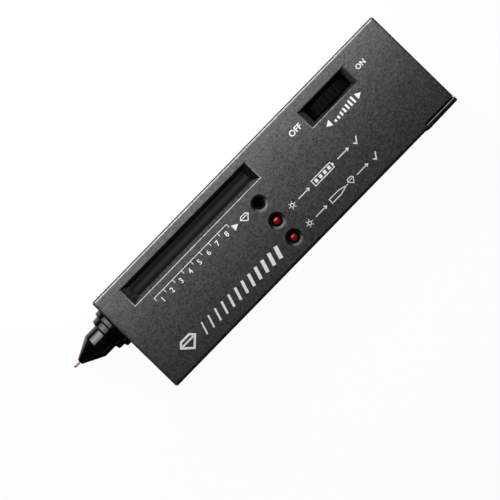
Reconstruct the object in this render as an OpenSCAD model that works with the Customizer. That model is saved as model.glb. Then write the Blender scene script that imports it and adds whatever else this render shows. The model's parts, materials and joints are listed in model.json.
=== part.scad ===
// Handheld diamond tester: a slim two-shell case with a spring-loaded heated probe,
// a row of bar lamps behind a smoked window, two round lamps, a sounder port,
// an on/off level thumbwheel and a sliding battery door.
// Frame: +X from the probe to the wide end, +Y to the window side, +Z out of the front face.
// Places on the case are given by s, from the probe end, and t, from the window side.

/* [Case] */
// Length of the case without the probe
body_l = 134; // [132:1:150]
// Width of the case
body_w = 40; // [40:0.5:46]
// Thickness of the case
body_t = 22; // [22:0.5:26]
// Thickness of the side and end walls
wall = 1.8; // [1.5:0.1:1.9]
// Thickness of the front and back walls
face_t = 2; // [1.8:0.1:2.2]
// Radius of the four upright corners
corner_r = 1; // [0.9:0.1:2]
// Radius along the front edges
front_edge_r = 1; // [0.3:0.1:1.2]
// Radius along the back edges
back_edge_r = 0.6; // [0.3:0.1:0.8]
// How far each side leans in from the joint line to the faces
draft = 0.15; // [0:0.05:0.3]
// Small slope along both covers' joint line
seam_w = 0.15; // [0.05:0.05:0.25]
// Height of the tongue that joins the two covers
lap_h = 1; // [0.6:0.1:1.4]
// Thickness of the tongue that joins the two covers
lap_t = 0.8; // [0.5:0.1:0.9]
// Gap between pieces that seat in one another
fit_gap = 0.1; // [0.05:0.01:0.15]
// Gap beside moving pieces
run_gap = 0.3; // [0.2:0.05:0.4]

/* [Display window] */
// Probe end of the case to the window recess
window_s = 9.6; // [9.5:0.1:12]
// Window side of the case to the window recess
window_t = 3.7; // [3.4:0.1:4.4]
// Length of the recess at the face
window_l = 60; // [59:0.1:61]
// Width of the recess at the face
window_w = 7.4; // [7:0.1:7.8]
// Depth of the pane below the face
window_depth = 2.4; // [2:0.1:2.8]
// Upright rim at the foot of the sloped walls
window_lip = 0.4; // [0.3:0.1:0.8]
// Run of the sloped wall at the probe end
window_near_run = 3.3; // [1.5:0.1:3.5]
// Run of the sloped wall at the wide end
window_far_run = 2.8; // [1.5:0.1:3]
// Run of the sloped wall on the outer side
window_outer_run = 1.4; // [0.8:0.1:1.5]
// Run of the sloped wall on the inner side
window_inner_run = 1.4; // [0.8:0.1:1.5]
// Thickness of the smoked pane
pane_t = 1.5; // [1:0.1:2]
// Rise of the pane's crowned top in the recess
pane_crown = 0.1; // [0.05:0.05:0.3]
// How far the pane reaches under the recess walls
pane_lap = 1.1; // [0.8:0.1:1.2]

/* [Bar lamps] */
// Number of bar lamps
bar_count = 12; // [8:1:12]
// Spacing of the bar lamps
bar_pitch = 4.3; // [4:0.05:4.3]
// Probe end of the case to the first bar lamp
bar_s = 18.15; // [18:0.05:18.6]
// Size of a bar lamp along the case
bar_l = 2; // [1.6:0.1:2.4]
// Size of a bar lamp across the case
bar_w = 5; // [4:0.1:5.4]
// Height of a bar lamp above the board
bar_h = 6.4; // [5.8:0.1:7]
// Air between the bar lamps and the pane
bar_air = 0.5; // [0.3:0.1:0.8]
// Wall of the lamp holder
holder_wall = 1; // [0.6:0.1:1.2]
// Height of the lamp holder
holder_h = 4.6; // [3.5:0.1:5.2]

/* [Round lamps and sounder] */
// Line of round ports to the wall of the battery bay
port_s = 13.3; // [12.8:0.1:13.8]
// Window side of the case to the sounder port
sound_t = 16.9; // [16.9:0.1:17.2]
// Window side of the case to the first lamp port
lamp_t = 25.05; // [24.95:0.05:25.3]
// Spacing of the two lamp ports
lamp_pitch = 8; // [7.9:0.05:8.1]
// Width of a port at the face
port_d = 5.95; // [5.4:0.05:6]
// Width of a port at its floor
port_floor_d = 4.2; // [4.1:0.1:5]
// Depth of a port
port_depth = 2.2; // [1.8:0.1:2.4]
// Thickness of a port's floor
port_floor_t = 1.4; // [1:0.1:1.6]
// Wall around a port
port_wall = 0.9; // [0.7:0.1:1.1]
// Diameter of a round lamp
led_d = 3.4; // [2.8:0.1:3.6]
// Height of a round lamp
led_h = 5.6; // [5:0.1:6]
// Top of a round lamp below the face
led_sink = 0.9; // [0.7:0.1:1.4]
// Diameter of the spacer under a round lamp
spacer_d = 4.8; // [4.2:0.1:5]
// Diameter of the sound hole
sound_d = 4; // [3.6:0.1:4.1]
// Diameter of the hole in the buzzer's lid
buzzer_hole_d = 2; // [1.5:0.1:3]
// Diameter of the buzzer
buzzer_d = 9.5; // [8:0.1:9.8]
// Height of the buzzer
buzzer_h = 6.6; // [5:0.1:6.8]

/* [Thumbwheel] */
// Wide end of the case to the wheel pocket
pocket_s = 18.25; // [17.5:0.05:18.6]
// Window side of the case to the wheel pocket
pocket_t = 5; // [4.8:0.05:5.1]
// Length of the pocket at the face
pocket_l = 22.3; // [22:0.1:23.5]
// Width of the pocket at the face
pocket_w = 7; // [6.8:0.05:7.05]
// Depth of the pocket's sloped walls
pocket_depth = 2.6; // [2.2:0.1:2.8]
// Wall that goes on below the sloped walls
pocket_skirt = 1; // [0.6:0.1:1.2]
// Run of the sloped wall at the off end
off_run = 2.05; // [1.5:0.05:2.2]
// Run of the scooped wall at the on end
on_run = 2.5; // [2:0.1:2.8]
// Run of the sloped wall on the outer side
pocket_outer_run = 1.1; // [0.8:0.05:1.15]
// Run of the sloped wall on the inner side
pocket_inner_run = 1; // [0.9:0.05:1.05]
// Diameter of the thumbwheel over its ribs
wheel_d = 18.4; // [17.6:0.1:18.8]
// Width of the thumbwheel
wheel_w = 4.2; // [3.8:0.1:4.3]
// Top of the thumbwheel below the face
wheel_sink = 0.2; // [0:0.1:0.4]
// Number of ribs on the thumbwheel
wheel_ribs = 30; // [20:1:40]
// Height of the ribs
rib_h = 0.55; // [0.3:0.05:0.7]
// Diameter of the hub of the thumbwheel
hub_d = 6.8; // [5.5:0.1:7.5]
// Depth of the ring sunk in each side of the thumbwheel
web_sink = 0.8; // [0.4:0.1:1.2]
// Diameter of the control shaft
shaft_d = 3; // [2.6:0.1:3.2]
// Radial play of the shaft in the control
shaft_play = 0.06; // [0.03:0.01:0.1]
// Length of the control's body
pot_l = 14; // [12:0.5:15]
// Drop of the control's body below its shaft
pot_drop = 7; // [6:0.1:7.4]

/* [Probe] */
// Window side of the case to the probe's axis
probe_t = 10.8; // [10:0.1:12]
// Diameter of the large collar
collar1_d = 15.5; // [14.6:0.1:17]
// Length of the large collar
collar1_l = 2.3; // [1.6:0.1:3]
// Diameter of the small collar
collar2_d = 13; // [11:0.1:13.6]
// Length of the small collar
collar2_l = 2.6; // [1.5:0.1:3]
// Diameter of the barrel
barrel_d = 9.8; // [9:0.1:10.2]
// Length of the barrel
barrel_l = 5; // [4.5:0.1:8]
// Length of the cone
cone_l = 7.3; // [5.5:0.1:9]
// Diameter at the end of the cone
nose_end_d = 2.1; // [2:0.1:3]
// Rounding of the collars' edges
collar_edge_r = 0.35; // [0.2:0.05:0.5]
// Diameter of the neck held between the covers
neck_d = 10.8; // [10:0.1:11.4]
// Diameter of the flange inside the case
flange_d = 14; // [13:0.1:14.6]
// Thickness of the flange inside the case
flange_t = 2; // [1.4:0.1:2.4]
// Diameter of the nose's tube inside the case
tail_d = 8.4; // [7.6:0.1:9]
// Bore that the tip carrier slides in
bore_d = 5; // [4.6:0.1:5.2]
// Bore that the needle passes through
guide_d = 1.3; // [1.2:0.05:1.5]
// Diameter of the needle
needle_d = 0.9; // [0.7:0.05:1]
// Length of needle outside the nose
needle_out = 2.6; // [2.2:0.1:4]
// How far the needle can be pressed in
press_travel = 1.5; // [0.5:0.1:2]
// Length of the tip carrier
carrier_l = 12; // [11:0.1:12.5]
// Radial play of the tip carrier
carrier_play = 0.15; // [0.1:0.01:0.2]
// Thickness of the spring's wire
spring_wire = 0.45; // [0.3:0.05:0.5]
// Number of turns of the spring
spring_turns = 7; // [5:1:7]
// Length that the spring keeps in hand when the needle is pressed right in
spring_spare = 3.35; // [2.4:0.05:3.6]
// Length of the plug inside the nose's tube
plug_l = 2.5; // [2:0.1:3]
// Thickness of the plug's head
plug_head_t = 1; // [0.8:0.1:1.2]

/* [Board] */
// Thickness of the board
board_t = 1.6; // [1:0.1:1.8]
// Probe end of the case to the board
board_s = 15.2; // [15:0.1:15.6]
// Room between the board and the case walls
board_room = 0.4; // [0.3:0.1:0.6]
// Diameter of the board screws
board_screw_d = 2; // [1.6:0.1:2.4]
// Diameter of the posts that the board sits on
board_post_d = 4.6; // [4.2:0.1:5]
// Height of a board screw's head
board_head_h = 1.3; // [1:0.1:1.6]
// Reach of a board screw into its post
board_grip = 4; // [3:0.1:5]
// Gap between neighbours on the board
part_gap = 1; // [0.6:0.1:1.1]
// Spacing of the legs of a chip
leg_pitch = 2.54; // [2:0.02:2.54]
// Width of the leg of a chip
leg_w = 0.6; // [0.4:0.1:0.8]
// Width of the body of a chip
chip_w = 6.2; // [5.6:0.1:6.4]
// Height of the body of a chip
chip_h = 3.2; // [2.6:0.1:3.4]
// Diameter of a capacitor
cap_d = 5; // [4:0.1:5.2]
// Height of a capacitor
cap_h = 6.4; // [5:0.1:6.8]
// Length of the body of a resistor
resistor_l = 4.4; // [3.6:0.1:4.8]
// Diameter of a resistor
resistor_d = 2; // [1.6:0.1:2]
// Spacing of a resistor's two legs
resistor_span = 6.8; // [6.4:0.1:7]
// Width of the trimmer
trimmer_w = 6.4; // [5.6:0.1:6.6]
// Height of the trimmer
trimmer_h = 4; // [3.4:0.1:4.4]
// Probe end of the board to its first row of parts
row_s = 5; // [4.6:0.1:5.4]

/* [Battery] */
// Length of the battery's can
battery_l = 46.4; // [45:0.1:46.6]
// Width of the battery
battery_w = 25.8; // [24.6:0.1:25.9]
// Thickness of the battery
battery_t = 17; // [16:0.1:17.4]
// Room around the battery
battery_room = 0.2; // [0.15:0.05:0.3]
// Height of the battery's terminals
stud_h = 2.1; // [1.9:0.1:2.3]
// Spacing of the battery's terminals
stud_pitch = 12.7; // [12.5:0.1:13]
// Width of the round terminal
stud_d = 5.8; // [5.6:0.1:6]
// Width of the six-sided terminal over its corners
socket_d = 7.6; // [7.4:0.1:7.8]
// Thickness of the snap's plate
snap_t = 2.2; // [1.6:0.1:2.4]
// Thickness of the snap's skin around a terminal
snap_skin = 0.6; // [0.4:0.1:0.8]
// Room for the leads between the snap and the wall of the bay
snap_room = 3.6; // [3:0.1:5]
// Thickness of the wall of the battery bay
bay_wall_t = 1.2; // [1:0.1:1.6]

/* [Battery door] */
// Length of the battery door
door_l = 56.3; // [52:0.1:57]
// Thickness of the wall that the door's rails slide on
ledge_t = 0.9; // [0.7:0.05:1]
// Width of the door's rails
rail_w = 0.7; // [0.5:0.05:0.8]
// Outer face of the door behind the back of the case
door_sink = 0.15; // [0.05:0.05:0.3]
// Length of the notch for the door's grip skirt
notch_l = 13.5; // [10:0.5:18]
// Width of the notch for the door's grip skirt
notch_w = 2; // [1.9:0.05:2]
// Gap between the notch and the grip skirt
notch_gap = 0.5; // [0.3:0.05:0.5]
// Top of the grip skirt below the front face
skirt_sink = 0.15; // [0.1:0.05:0.6]
// Rounding of the grip skirt's outer edge
skirt_r = 1.2; // [0.6:0.1:1.2]
// Rounding of the grip skirt's inner edge
skirt_in_r = 0.4; // [0.2:0.05:0.4]
// How far the grip skirt stands out from the side of the case
skirt_proud = 0.3; // [0.1:0.05:0.4]
// Depth of the open gap along the grip skirt
skirt_step = 2.4; // [1.6:0.1:3]
// Number of finger grooves on the door
grip_count = 6; // [3:1:9]
// Spacing of the finger grooves
grip_pitch = 2; // [1.6:0.1:2.4]

/* [Case screws] */
// Diameter of the case screws
screw_d = 2.2; // [1.8:0.1:2.4]
// Diameter of the screw heads
screw_head_d = 4.4; // [3.8:0.1:4.5]
// Height of the screw heads
screw_head_h = 1.6; // [1.2:0.1:1.8]
// Depth of the screw seats from the back
screw_seat = 4; // [3.4:0.1:5]
// Reach of the screws past the joint line
screw_grip = 6; // [4:0.5:6.5]
// Diameter of the screw bosses in the front cover
boss_d = 4.8; // [4.6:0.1:5]
// Wall around a screw head in the rear cover
post_wall = 0.4; // [0.35:0.05:0.45]

/* [Hidden] */
$fn = 64;
eps = 0.01;

// Lengthwise places
nose_l = collar1_l + collar2_l + barrel_l + cone_l;
probe_reach = nose_l + needle_out;
case_x0 = probe_reach - (body_l + probe_reach) / 2;
case_mid = case_x0 + body_l / 2;
function case_x(s) = case_x0 + s;
function case_y(t) = (body_w + skirt_proud) / 2 - t;

// Heights
part_z = body_t / 2;
front_in = body_t - face_t;
pane_z1 = body_t - window_depth;
pane_z0 = pane_z1 - pane_t;
board_z1 = pane_z0 - bar_air - bar_h;
board_z0 = board_z1 - board_t;
port_z = body_t - port_depth;
port_z0 = port_z - port_floor_t;
led_z = body_t - led_sink - led_h;
wheel_z = body_t - wheel_sink - wheel_d / 2;
pocket_z = body_t - pocket_depth;
pad_z = pocket_z - pocket_skirt;

// Battery and its bay
battery_s1 = body_l - wall - battery_room - 0.1;
battery_s0 = battery_s1 - battery_l;
battery_t1 = body_w - wall - battery_room;
battery_t0 = battery_t1 - battery_w;
battery_tm = (battery_t0 + battery_t1) / 2;
battery_z0 = face_t + battery_room;
battery_zm = battery_z0 + battery_t / 2;
stud_s = battery_s0 - stud_h;
snap_s = stud_s - snap_t;
door_s = body_l - door_l;
door_hole_s = door_s - fit_gap;
bay_s1 = snap_s - snap_room;
bay_s0 = bay_s1 - bay_wall_t;
port_line = bay_s0 - port_s;
open_t0 = battery_t0 - battery_room;
open_t1 = body_w - wall;
rail_t0 = open_t0 - fit_gap - rail_w;
rail_t1 = open_t1 + fit_gap + rail_w;
notch_s = body_l - notch_l;
notch_t = body_w - notch_w;

// Wheel and control
pocket_s1 = body_l - pocket_s;
pocket_s0 = pocket_s1 - pocket_l;
wheel_s = pocket_s0 + (pocket_l + off_run - on_run) / 2;
slot_t0 = pocket_t + pocket_outer_run;
slot_t1 = pocket_t + pocket_w - pocket_inner_run;
wheel_tm = (slot_t0 + slot_t1) / 2;
wheel_t0 = wheel_tm - wheel_w / 2;
wheel_t1 = wheel_tm + wheel_w / 2;
collar_t = 0.35;
pot_t0 = wall + run_gap;
pot_t1 = wheel_t0 - collar_t - fit_gap;
pot_s0 = wheel_s - pot_l / 2;
pot_z0 = wheel_z - pot_drop;
pot_z1 = pad_z - 0.2;
shaft_r = shaft_d / 2;
shaft_t0 = pot_t0 + 0.9;

// Board
board_s1 = bay_s0 - 0.6;
board_t0 = wall + board_room;
board_t1 = body_w - wall - board_room;
arm_s1 = pot_s0 - 0.5;
post_r = screw_head_d / 2 + 0.3 + post_wall;
screw_places = [[8, body_w - 6],
                [bay_s0 - post_r - 0.7, body_w - wall - post_r - 0.1],
                [wheel_s - wheel_d / 2 - post_r - 6.8, (pot_t1 + battery_t0) / 2],
                [pocket_s1 + 8.5, 6.8]];
bar_tm = window_t + window_outer_run + (window_w - window_outer_run - window_inner_run) / 2;
holder_s0 = bar_s - bar_l / 2 - holder_wall;
holder_s1 = bar_s + (bar_count - 1) * bar_pitch + bar_l / 2 + holder_wall;
holder_t0 = bar_tm - bar_w / 2 - holder_wall;
holder_t1 = bar_tm + bar_w / 2 + holder_wall;
strip_s1 = max(board_s1, holder_s1 + part_gap);

// Three rows of parts on the board, from the bar lamps to the far side
chip_half = chip_w / 2 + leg_w + 0.15;
row_a = holder_t1 + part_gap + chip_half;
row_c = board_t1 - part_gap - cap_d / 2;
row_b = (row_a + chip_half + row_c - cap_d / 2) / 2;
chip_a_l = 7 * leg_pitch;
chip_b_l = 4 * leg_pitch;
resistor_pitch = resistor_d + 0.7;
resistor_s = board_s + resistor_d / 2 + 0.5;
chip_b_s = resistor_s + 3 * resistor_pitch + resistor_d / 2 + part_gap;
trimmer_s = chip_b_s + chip_b_l + part_gap;
board_places = [[board_s + row_s + board_post_d / 2 + 0.5, row_c],
                [board_s1 - board_post_d / 2 - 1, window_t + window_w + 2.9]];
cap_s = board_places[0][0] + board_post_d / 2 + part_gap + cap_d / 2;

// Probe, measured outward from the probe end of the case
bore_r = bore_d / 2;
carrier_r = bore_r - carrier_play;
stop_p = collar1_l + collar2_l + barrel_l + 0.6;
carrier_p = stop_p - carrier_l;
spring_l = spring_turns * spring_wire + press_travel + spring_spare;
plug_p = carrier_p - spring_l;
tail_l = plug_l - plug_p;
spring_r = carrier_r - 0.35 - spring_wire / 2;
spring_rings = 8;
head_p = stop_p - 2;
heater_l = 3;

// Case outline, drawn in by an inset
module case_outline(inset) {
    r = max(corner_r - inset, 0.12);
    l = body_l - 2 * inset;
    w = body_w - 2 * inset;
    translate([case_mid, case_y(body_w / 2)]) {
        square([l - 2 * r, w], center = true);
        square([l, w - 2 * r], center = true);
        for (i = [-1, 1])
            for (j = [-1, 1])
                translate([i * (l / 2 - r), j * (w / 2 - r)])
                    circle(r, $fn = 32);
    }
}

// Thin layer of the case at a height
module case_layer(z, inset) {
    translate([0, 0, z])
        linear_extrude(eps)
            case_outline(inset);
}

// Front half of the case as one block, with leaning sides and rounded front edges
module front_block() {
    hull() {
        case_layer(part_z, seam_w);
        case_layer(part_z + seam_w, 0);
        for (a = [0 : 18 : 90])
            case_layer(body_t - eps - front_edge_r * (1 - sin(a)), draft + front_edge_r * (1 - cos(a)));
    }
}

// Rear half of the case as one block, with leaning sides and rounded back edges
module rear_block() {
    hull() {
        case_layer(part_z - eps, seam_w);
        case_layer(part_z - seam_w - eps, 0);
        for (a = [0 : 18 : 90])
            case_layer(back_edge_r * (1 - sin(a)), draft + back_edge_r * (1 - cos(a)));
    }
}

// Room inside the walls between two heights
module case_room(z0, z1, inset) {
    translate([0, 0, z0])
        linear_extrude(z1 - z0)
            case_outline(inset);
}

// Box between two places on the case and two heights
module block(s0, s1, t0, t1, z0, z1) {
    translate([case_x(s0), case_y(t1), z0])
        cube([s1 - s0, t1 - t0, z1 - z0]);
}

// Upright round post at a place on the case
module post(s, t, z0, z1, r) {
    translate([case_x(s), case_y(t), z0])
        cylinder(r = r, h = z1 - z0);
}

// Turns what follows so that its +Z points out of the probe end along the probe's axis
module on_probe() {
    translate([case_x(0), case_y(probe_t), part_z])
        rotate([0, -90, 0])
            children();
}

// Turns what follows so that its +Z points along the wheel's axis, to the inner side
module on_wheel(t) {
    translate([case_x(wheel_s), case_y(t), wheel_z])
        rotate([90, 0, 0])
            children();
}

// Recess in the front face, as the crossing of a lengthwise and a crosswise prism
module recess(s, t, l, w, depth, foot, near, far, outer, inner, scoop) {
    x0 = case_x(s);
    x1 = case_x(s + l);
    y0 = case_y(t + w);
    y1 = case_y(t);
    z1 = body_t;
    zs = body_t - depth;
    zf = zs - foot;
    far_wall = scoop
        ? [for (a = [90 : -15 : 0]) [x1 - far * sin(a), z1 - depth * (1 - cos(a))]]
        : [[x1 - far, zs], [x1, z1]];
    intersection() {
        translate([0, y1 + 1, 0])
            rotate([90, 0, 0])
                linear_extrude(w + 2)
                    polygon(concat([[x0, z1 + 1], [x0, z1], [x0 + near, zs], [x0 + near, zf],
                                    [x1 - far, zf]], far_wall, [[x1, z1 + 1]]));
        translate([x0 - 1, 0, 0])
            rotate([90, 0, 90])
                linear_extrude(l + 2)
                    polygon([[y0, z1 + 1], [y0, z1], [y0 + inner, zs], [y0 + inner, zf],
                             [y1 - outer, zf], [y1 - outer, zs], [y1, z1], [y1, z1 + 1]]);
    }
}

// Hole for the probe's neck through the end wall, half in each cover
module neck_hole() {
    on_probe()
        translate([0, 0, -wall - 0.5])
            cylinder(d = neck_d + 2 * fit_gap, h = wall + 1.5);
}

// Corner of the case that is left open for the grip skirt
module corner_notch() {
    block(notch_s, body_l + 1, notch_t, body_w + 1, -1, body_t + 1);
}

// Mouth of a port: a short bore with a large rounding at the face
module port_mouth() {
    r = (port_d - port_floor_d) / 2;
    rotate_extrude($fn = 48)
        polygon(concat(
            [[0, 0], [port_floor_d / 2, 0]],
            [for (a = [180 : -18 : 90]) [port_d / 2 + r * cos(a), port_depth - r * (1 - sin(a))]],
            [[port_d / 2, port_depth + eps], [0, port_depth + eps]]));
}

module front_cover() {
    color("#222326")
        difference() {
            union() {
                difference() {
                    front_block();
                    case_room(part_z - 1, front_in, wall);
                }
                block(window_s - 0.2, window_s + window_l + 0.6, wall - 0.3,
                      window_t + window_w + 1.5, pane_z0, front_in + 0.3);
                block(pocket_s0 + 0.2, pocket_s1 - 0.2, pocket_t - 0.2,
                      pocket_t + pocket_w - 0.2, pad_z, front_in + 0.3);
                for (t = [sound_t, lamp_t, lamp_t + lamp_pitch])
                    post(port_line, t, port_z0, front_in + 0.3, port_d / 2 + port_wall);
                for (p = screw_places)
                    post(p[0], p[1], part_z, front_in + 0.3, boss_d / 2);
                for (p = board_places)
                    post(p[0], p[1], board_z1, front_in + 0.3, board_post_d / 2);
            }
            recess(window_s, window_t, window_l, window_w, window_depth - window_lip,
                   window_lip + 0.3, window_near_run, window_far_run, window_outer_run,
                   window_inner_run, false);
            block(window_s + window_near_run - pane_lap - fit_gap,
                  window_s + window_l - window_far_run + pane_lap + fit_gap,
                  window_t + window_outer_run - pane_lap - fit_gap,
                  window_t + window_w - window_inner_run + pane_lap + fit_gap,
                  pane_z0 - 1, pane_z1);
            recess(pocket_s0, pocket_t, pocket_l, pocket_w, pocket_depth, pocket_skirt + 1,
                   off_run, on_run, pocket_outer_run, pocket_inner_run, true);
            for (t = [sound_t, lamp_t, lamp_t + lamp_pitch])
                translate([case_x(port_line), case_y(t), port_z])
                    port_mouth();
            post(port_line, sound_t, port_z0 - 1, body_t, sound_d / 2);
            for (t = [lamp_t, lamp_t + lamp_pitch])
                post(port_line, t, port_z0 - 1, body_t, led_d / 2 + 2 * fit_gap);
            for (p = screw_places)
                post(p[0], p[1], part_z - 1, part_z + screw_grip + 1, screw_d / 2 + 0.05);
            for (p = board_places)
                post(p[0], p[1], board_z1 - 1, board_z1 + board_grip + 1, board_screw_d / 2 + 0.05);
            difference() {
                case_room(part_z - 1, part_z + lap_h + fit_gap, wall - lap_t - fit_gap);
                case_room(part_z - 2, part_z + lap_h + 1, wall + 0.05);
            }
            neck_hole();
            corner_notch();
        }
}

module rear_cover() {
    color("#222326")
        difference() {
            union() {
                difference() {
                    rear_block();
                    case_room(face_t, part_z + 1, wall);
                }
                difference() {
                    case_room(part_z - 0.5, part_z + lap_h, wall - lap_t);
                    case_room(part_z - 1, part_z + lap_h + 1, wall);
                }
                for (p = screw_places)
                    post(p[0], p[1], face_t - 0.3, part_z, post_r);
                block(bay_s0, bay_s1, open_t0 - 0.4, body_w - wall + 0.3, face_t - 0.3, part_z);
                block(min(bay_s0, door_hole_s), body_l - wall + 0.3, rail_t0 - fit_gap - 0.8, open_t0, face_t - 0.3,
                      face_t + fit_gap + 0.9);
                block(pot_s0 + 2, pot_s0 + pot_l - 2, wall - 0.3, pot_t1 - 0.4, face_t - 0.3, pot_z0);
            }
            for (p = screw_places) {
                post(p[0], p[1], -1, screw_seat, screw_head_d / 2 + 0.3);
                post(p[0], p[1], -1, part_z + 1, screw_d / 2 + 0.2);
            }
            block(door_hole_s, body_l + 1, open_t0, open_t1, -1, face_t + fit_gap);
            block(door_hole_s, body_l + 1, rail_t0 - fit_gap, rail_t1 + fit_gap, ledge_t, face_t + fit_gap);
            neck_hole();
            corner_notch();
        }
}

// Thin slice across the grip skirt, with a small inner and a large outer rounding at its top
module skirt_slice(s, t1) {
    y0 = case_y(t1);
    y1 = case_y(notch_t + notch_gap);
    z0 = door_sink + back_edge_r;
    z1 = body_t - skirt_sink;
    translate([case_x(s), 0, 0])
        rotate([90, 0, 90])
            linear_extrude(eps)
                polygon(concat(
                    [[y1, z0]],
                    [for (a = [0 : 22.5 : 90]) [y1 - skirt_in_r * (1 - cos(a)), z1 - skirt_in_r * (1 - sin(a))]],
                    [for (a = [90 : 15 : 180]) [y0 + skirt_r * (1 + cos(a)), z1 - skirt_r * (1 - sin(a))]],
                    [[y0, z0]]));
}

module battery_door() {
    grip_s = body_l - 6;
    color("#222326")
        difference() {
            union() {
                intersection() {
                    rear_block();
                    union() {
                        block(door_s, body_l, open_t0 + fit_gap, open_t1 - fit_gap, door_sink, face_t);
                        block(door_s, body_l, rail_t0, rail_t1, ledge_t + fit_gap, face_t);
                        block(notch_s + 0.2, body_l, open_t1 - 2, body_w, door_sink, face_t);
                    }
                }
                intersection() {
                    hull() {
                        skirt_slice(notch_s + 0.2, body_w + skirt_proud);
                        skirt_slice(body_l - eps, body_w + skirt_proud / 3);
                    }
                    case_room(0, body_t, -skirt_proud);
                }
                block(notch_s + 0.2, body_l - draft, notch_t + fit_gap, notch_t + notch_gap + 0.2, door_sink + back_edge_r,
                      body_t - skirt_sink - skirt_step);
            }
            for (i = [0 : grip_count - 1])
                block(grip_s - i * grip_pitch - 0.9, grip_s - i * grip_pitch, battery_tm - 7,
                      battery_tm + 7, -1, door_sink + 0.5);
        }
}

module display_window() {
    s0 = window_s + window_near_run;
    s1 = window_s + window_l - window_far_run;
    t0 = window_t + window_outer_run;
    t1 = window_t + window_w - window_inner_run;
    half = (t1 - t0) / 2 - fit_gap;
    r = (half * half + pane_crown * pane_crown) / (2 * pane_crown);
    color("#15161a") {
        block(s0 - pane_lap, s1 + pane_lap, t0 - pane_lap, t1 + pane_lap, pane_z0, pane_z1);
        intersection() {
            block(s0 + fit_gap, s1 - fit_gap, t0 + fit_gap, t1 - fit_gap, pane_z1 - 0.2, pane_z1 + 1);
            translate([case_x(s0), case_y(bar_tm), pane_z1 + pane_crown - r])
                rotate([0, 90, 0])
                    cylinder(r = r, h = s1 - s0, $fn = 180);
        }
    }
}

module case_screws() {
    color("#3a3c40")
        for (p = screw_places)
            difference() {
                union() {
                    post(p[0], p[1], screw_seat - screw_head_h, screw_seat, screw_head_d / 2);
                    post(p[0], p[1], screw_seat - 0.2, part_z + screw_grip, screw_d / 2);
                }
                for (a = [0, 90])
                    translate([case_x(p[0]), case_y(p[1]), screw_seat - screw_head_h - 1])
                        rotate([0, 0, a])
                            translate([-1.25, -0.3, 0])
                                cube([2.5, 0.6, 1.8]);
            }
}

module main_board() {
    c = screw_places[1];
    color("#2d6a45")
        difference() {
            union() {
                block(board_s, board_s1, board_t0, board_t1, board_z0, board_z1);
                block(board_s1 - 4, strip_s1, board_t0, holder_t1, board_z0, board_z1);
                block(board_s1 - 4, arm_s1, board_t0, pot_t1, board_z0, board_z1);
            }
            block(c[0] - post_r - 0.5, board_s1 + 1, c[1] - post_r - 0.5, body_w, board_z0 - 1, board_z1 + 1);
            for (p = board_places)
                post(p[0], p[1], board_z0 - 1, board_z1 + 1, board_screw_d / 2 + 0.2);
        }
}

module board_screws() {
    color("#a9abad")
        for (p = board_places)
            difference() {
                union() {
                    post(p[0], p[1], board_z0 - board_head_h, board_z0, board_screw_d * 0.95);
                    post(p[0], p[1], board_z0 - 0.2, board_z1 + board_grip, board_screw_d / 2);
                }
                for (a = [0, 90])
                    translate([case_x(p[0]), case_y(p[1]), board_z0 - board_head_h - 1])
                        rotate([0, 0, a])
                            translate([-board_screw_d / 2, -0.25, 0])
                                cube([board_screw_d, 0.5, 1.6]);
            }
}

module bar_lamps() {
    color("#8f1f1c")
        for (i = [0 : bar_count - 1])
            block(bar_s + i * bar_pitch - bar_l / 2, bar_s + i * bar_pitch + bar_l / 2,
                  bar_tm - bar_w / 2, bar_tm + bar_w / 2, board_z1, board_z1 + bar_h);
}

module bar_lamp_holder() {
    color("#2a2b2d")
        difference() {
            block(holder_s0, holder_s1, holder_t0, holder_t1, board_z1, board_z1 + holder_h);
            for (i = [0 : bar_count - 1])
                block(bar_s + i * bar_pitch - bar_l / 2 - fit_gap, bar_s + i * bar_pitch + bar_l / 2 + fit_gap,
                      bar_tm - bar_w / 2 - fit_gap, bar_tm + bar_w / 2 + fit_gap, board_z1 - 1,
                      board_z1 + holder_h + 1);
        }
}

// Round lamp: flange, straight lens and domed end
module round_lamp(t) {
    r = led_d / 2;
    translate([case_x(port_line), case_y(t), led_z])
        rotate_extrude()
            polygon(concat([[0, 0], [r + 0.4, 0], [r + 0.4, 0.9], [r, 0.9]],
                           [for (a = [0 : 10 : 90]) [r * cos(a), led_h - r + r * sin(a)]]));
}

module battery_lamp() {
    color("#d0141c")
        round_lamp(lamp_t);
}

module ready_lamp() {
    color("#d0141c")
        round_lamp(lamp_t + lamp_pitch);
}

module lamp_spacers() {
    color("#dcdcd6")
        for (t = [lamp_t, lamp_t + lamp_pitch])
            difference() {
                post(port_line, t, board_z1, led_z, spacer_d / 2);
                post(port_line, t, board_z1 - 1, led_z + 1, 1);
            }
}

module buzzer() {
    color("#1b1b1c")
        difference() {
            post(port_line, sound_t, board_z1, board_z1 + buzzer_h, buzzer_d / 2);
            post(port_line, sound_t, board_z1 + 1.5, board_z1 + buzzer_h - 1, buzzer_d / 2 - 0.8);
            post(port_line, sound_t, board_z1 + buzzer_h - 2, board_z1 + buzzer_h + 1, buzzer_hole_d / 2);
        }
}

module volume_control() {
    pin_pitch = (pot_t1 - pot_t0) / 3;
    color("#4a4d50")
        difference() {
            union() {
                block(pot_s0, pot_s0 + pot_l, pot_t0, pot_t1, pot_z0, pot_z1);
                for (i = [0 : 2])
                    block(pot_s0 - 4.5, pot_s0 + 0.3, pot_t0 + (i + 0.5) * pin_pitch - 0.3,
                          pot_t0 + (i + 0.5) * pin_pitch + 0.3, board_z1, board_z1 + 0.3);
            }
            on_wheel(shaft_t0 - fit_gap)
                cylinder(r = shaft_r + shaft_play, h = 12);
        }
}

// Flat on the shaft that keeps the wheel from slipping
module shaft_flat(h) {
    translate([shaft_r * 0.6, -shaft_d, -1])
        cube([shaft_d, shaft_d * 2, h + 2]);
}

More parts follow.
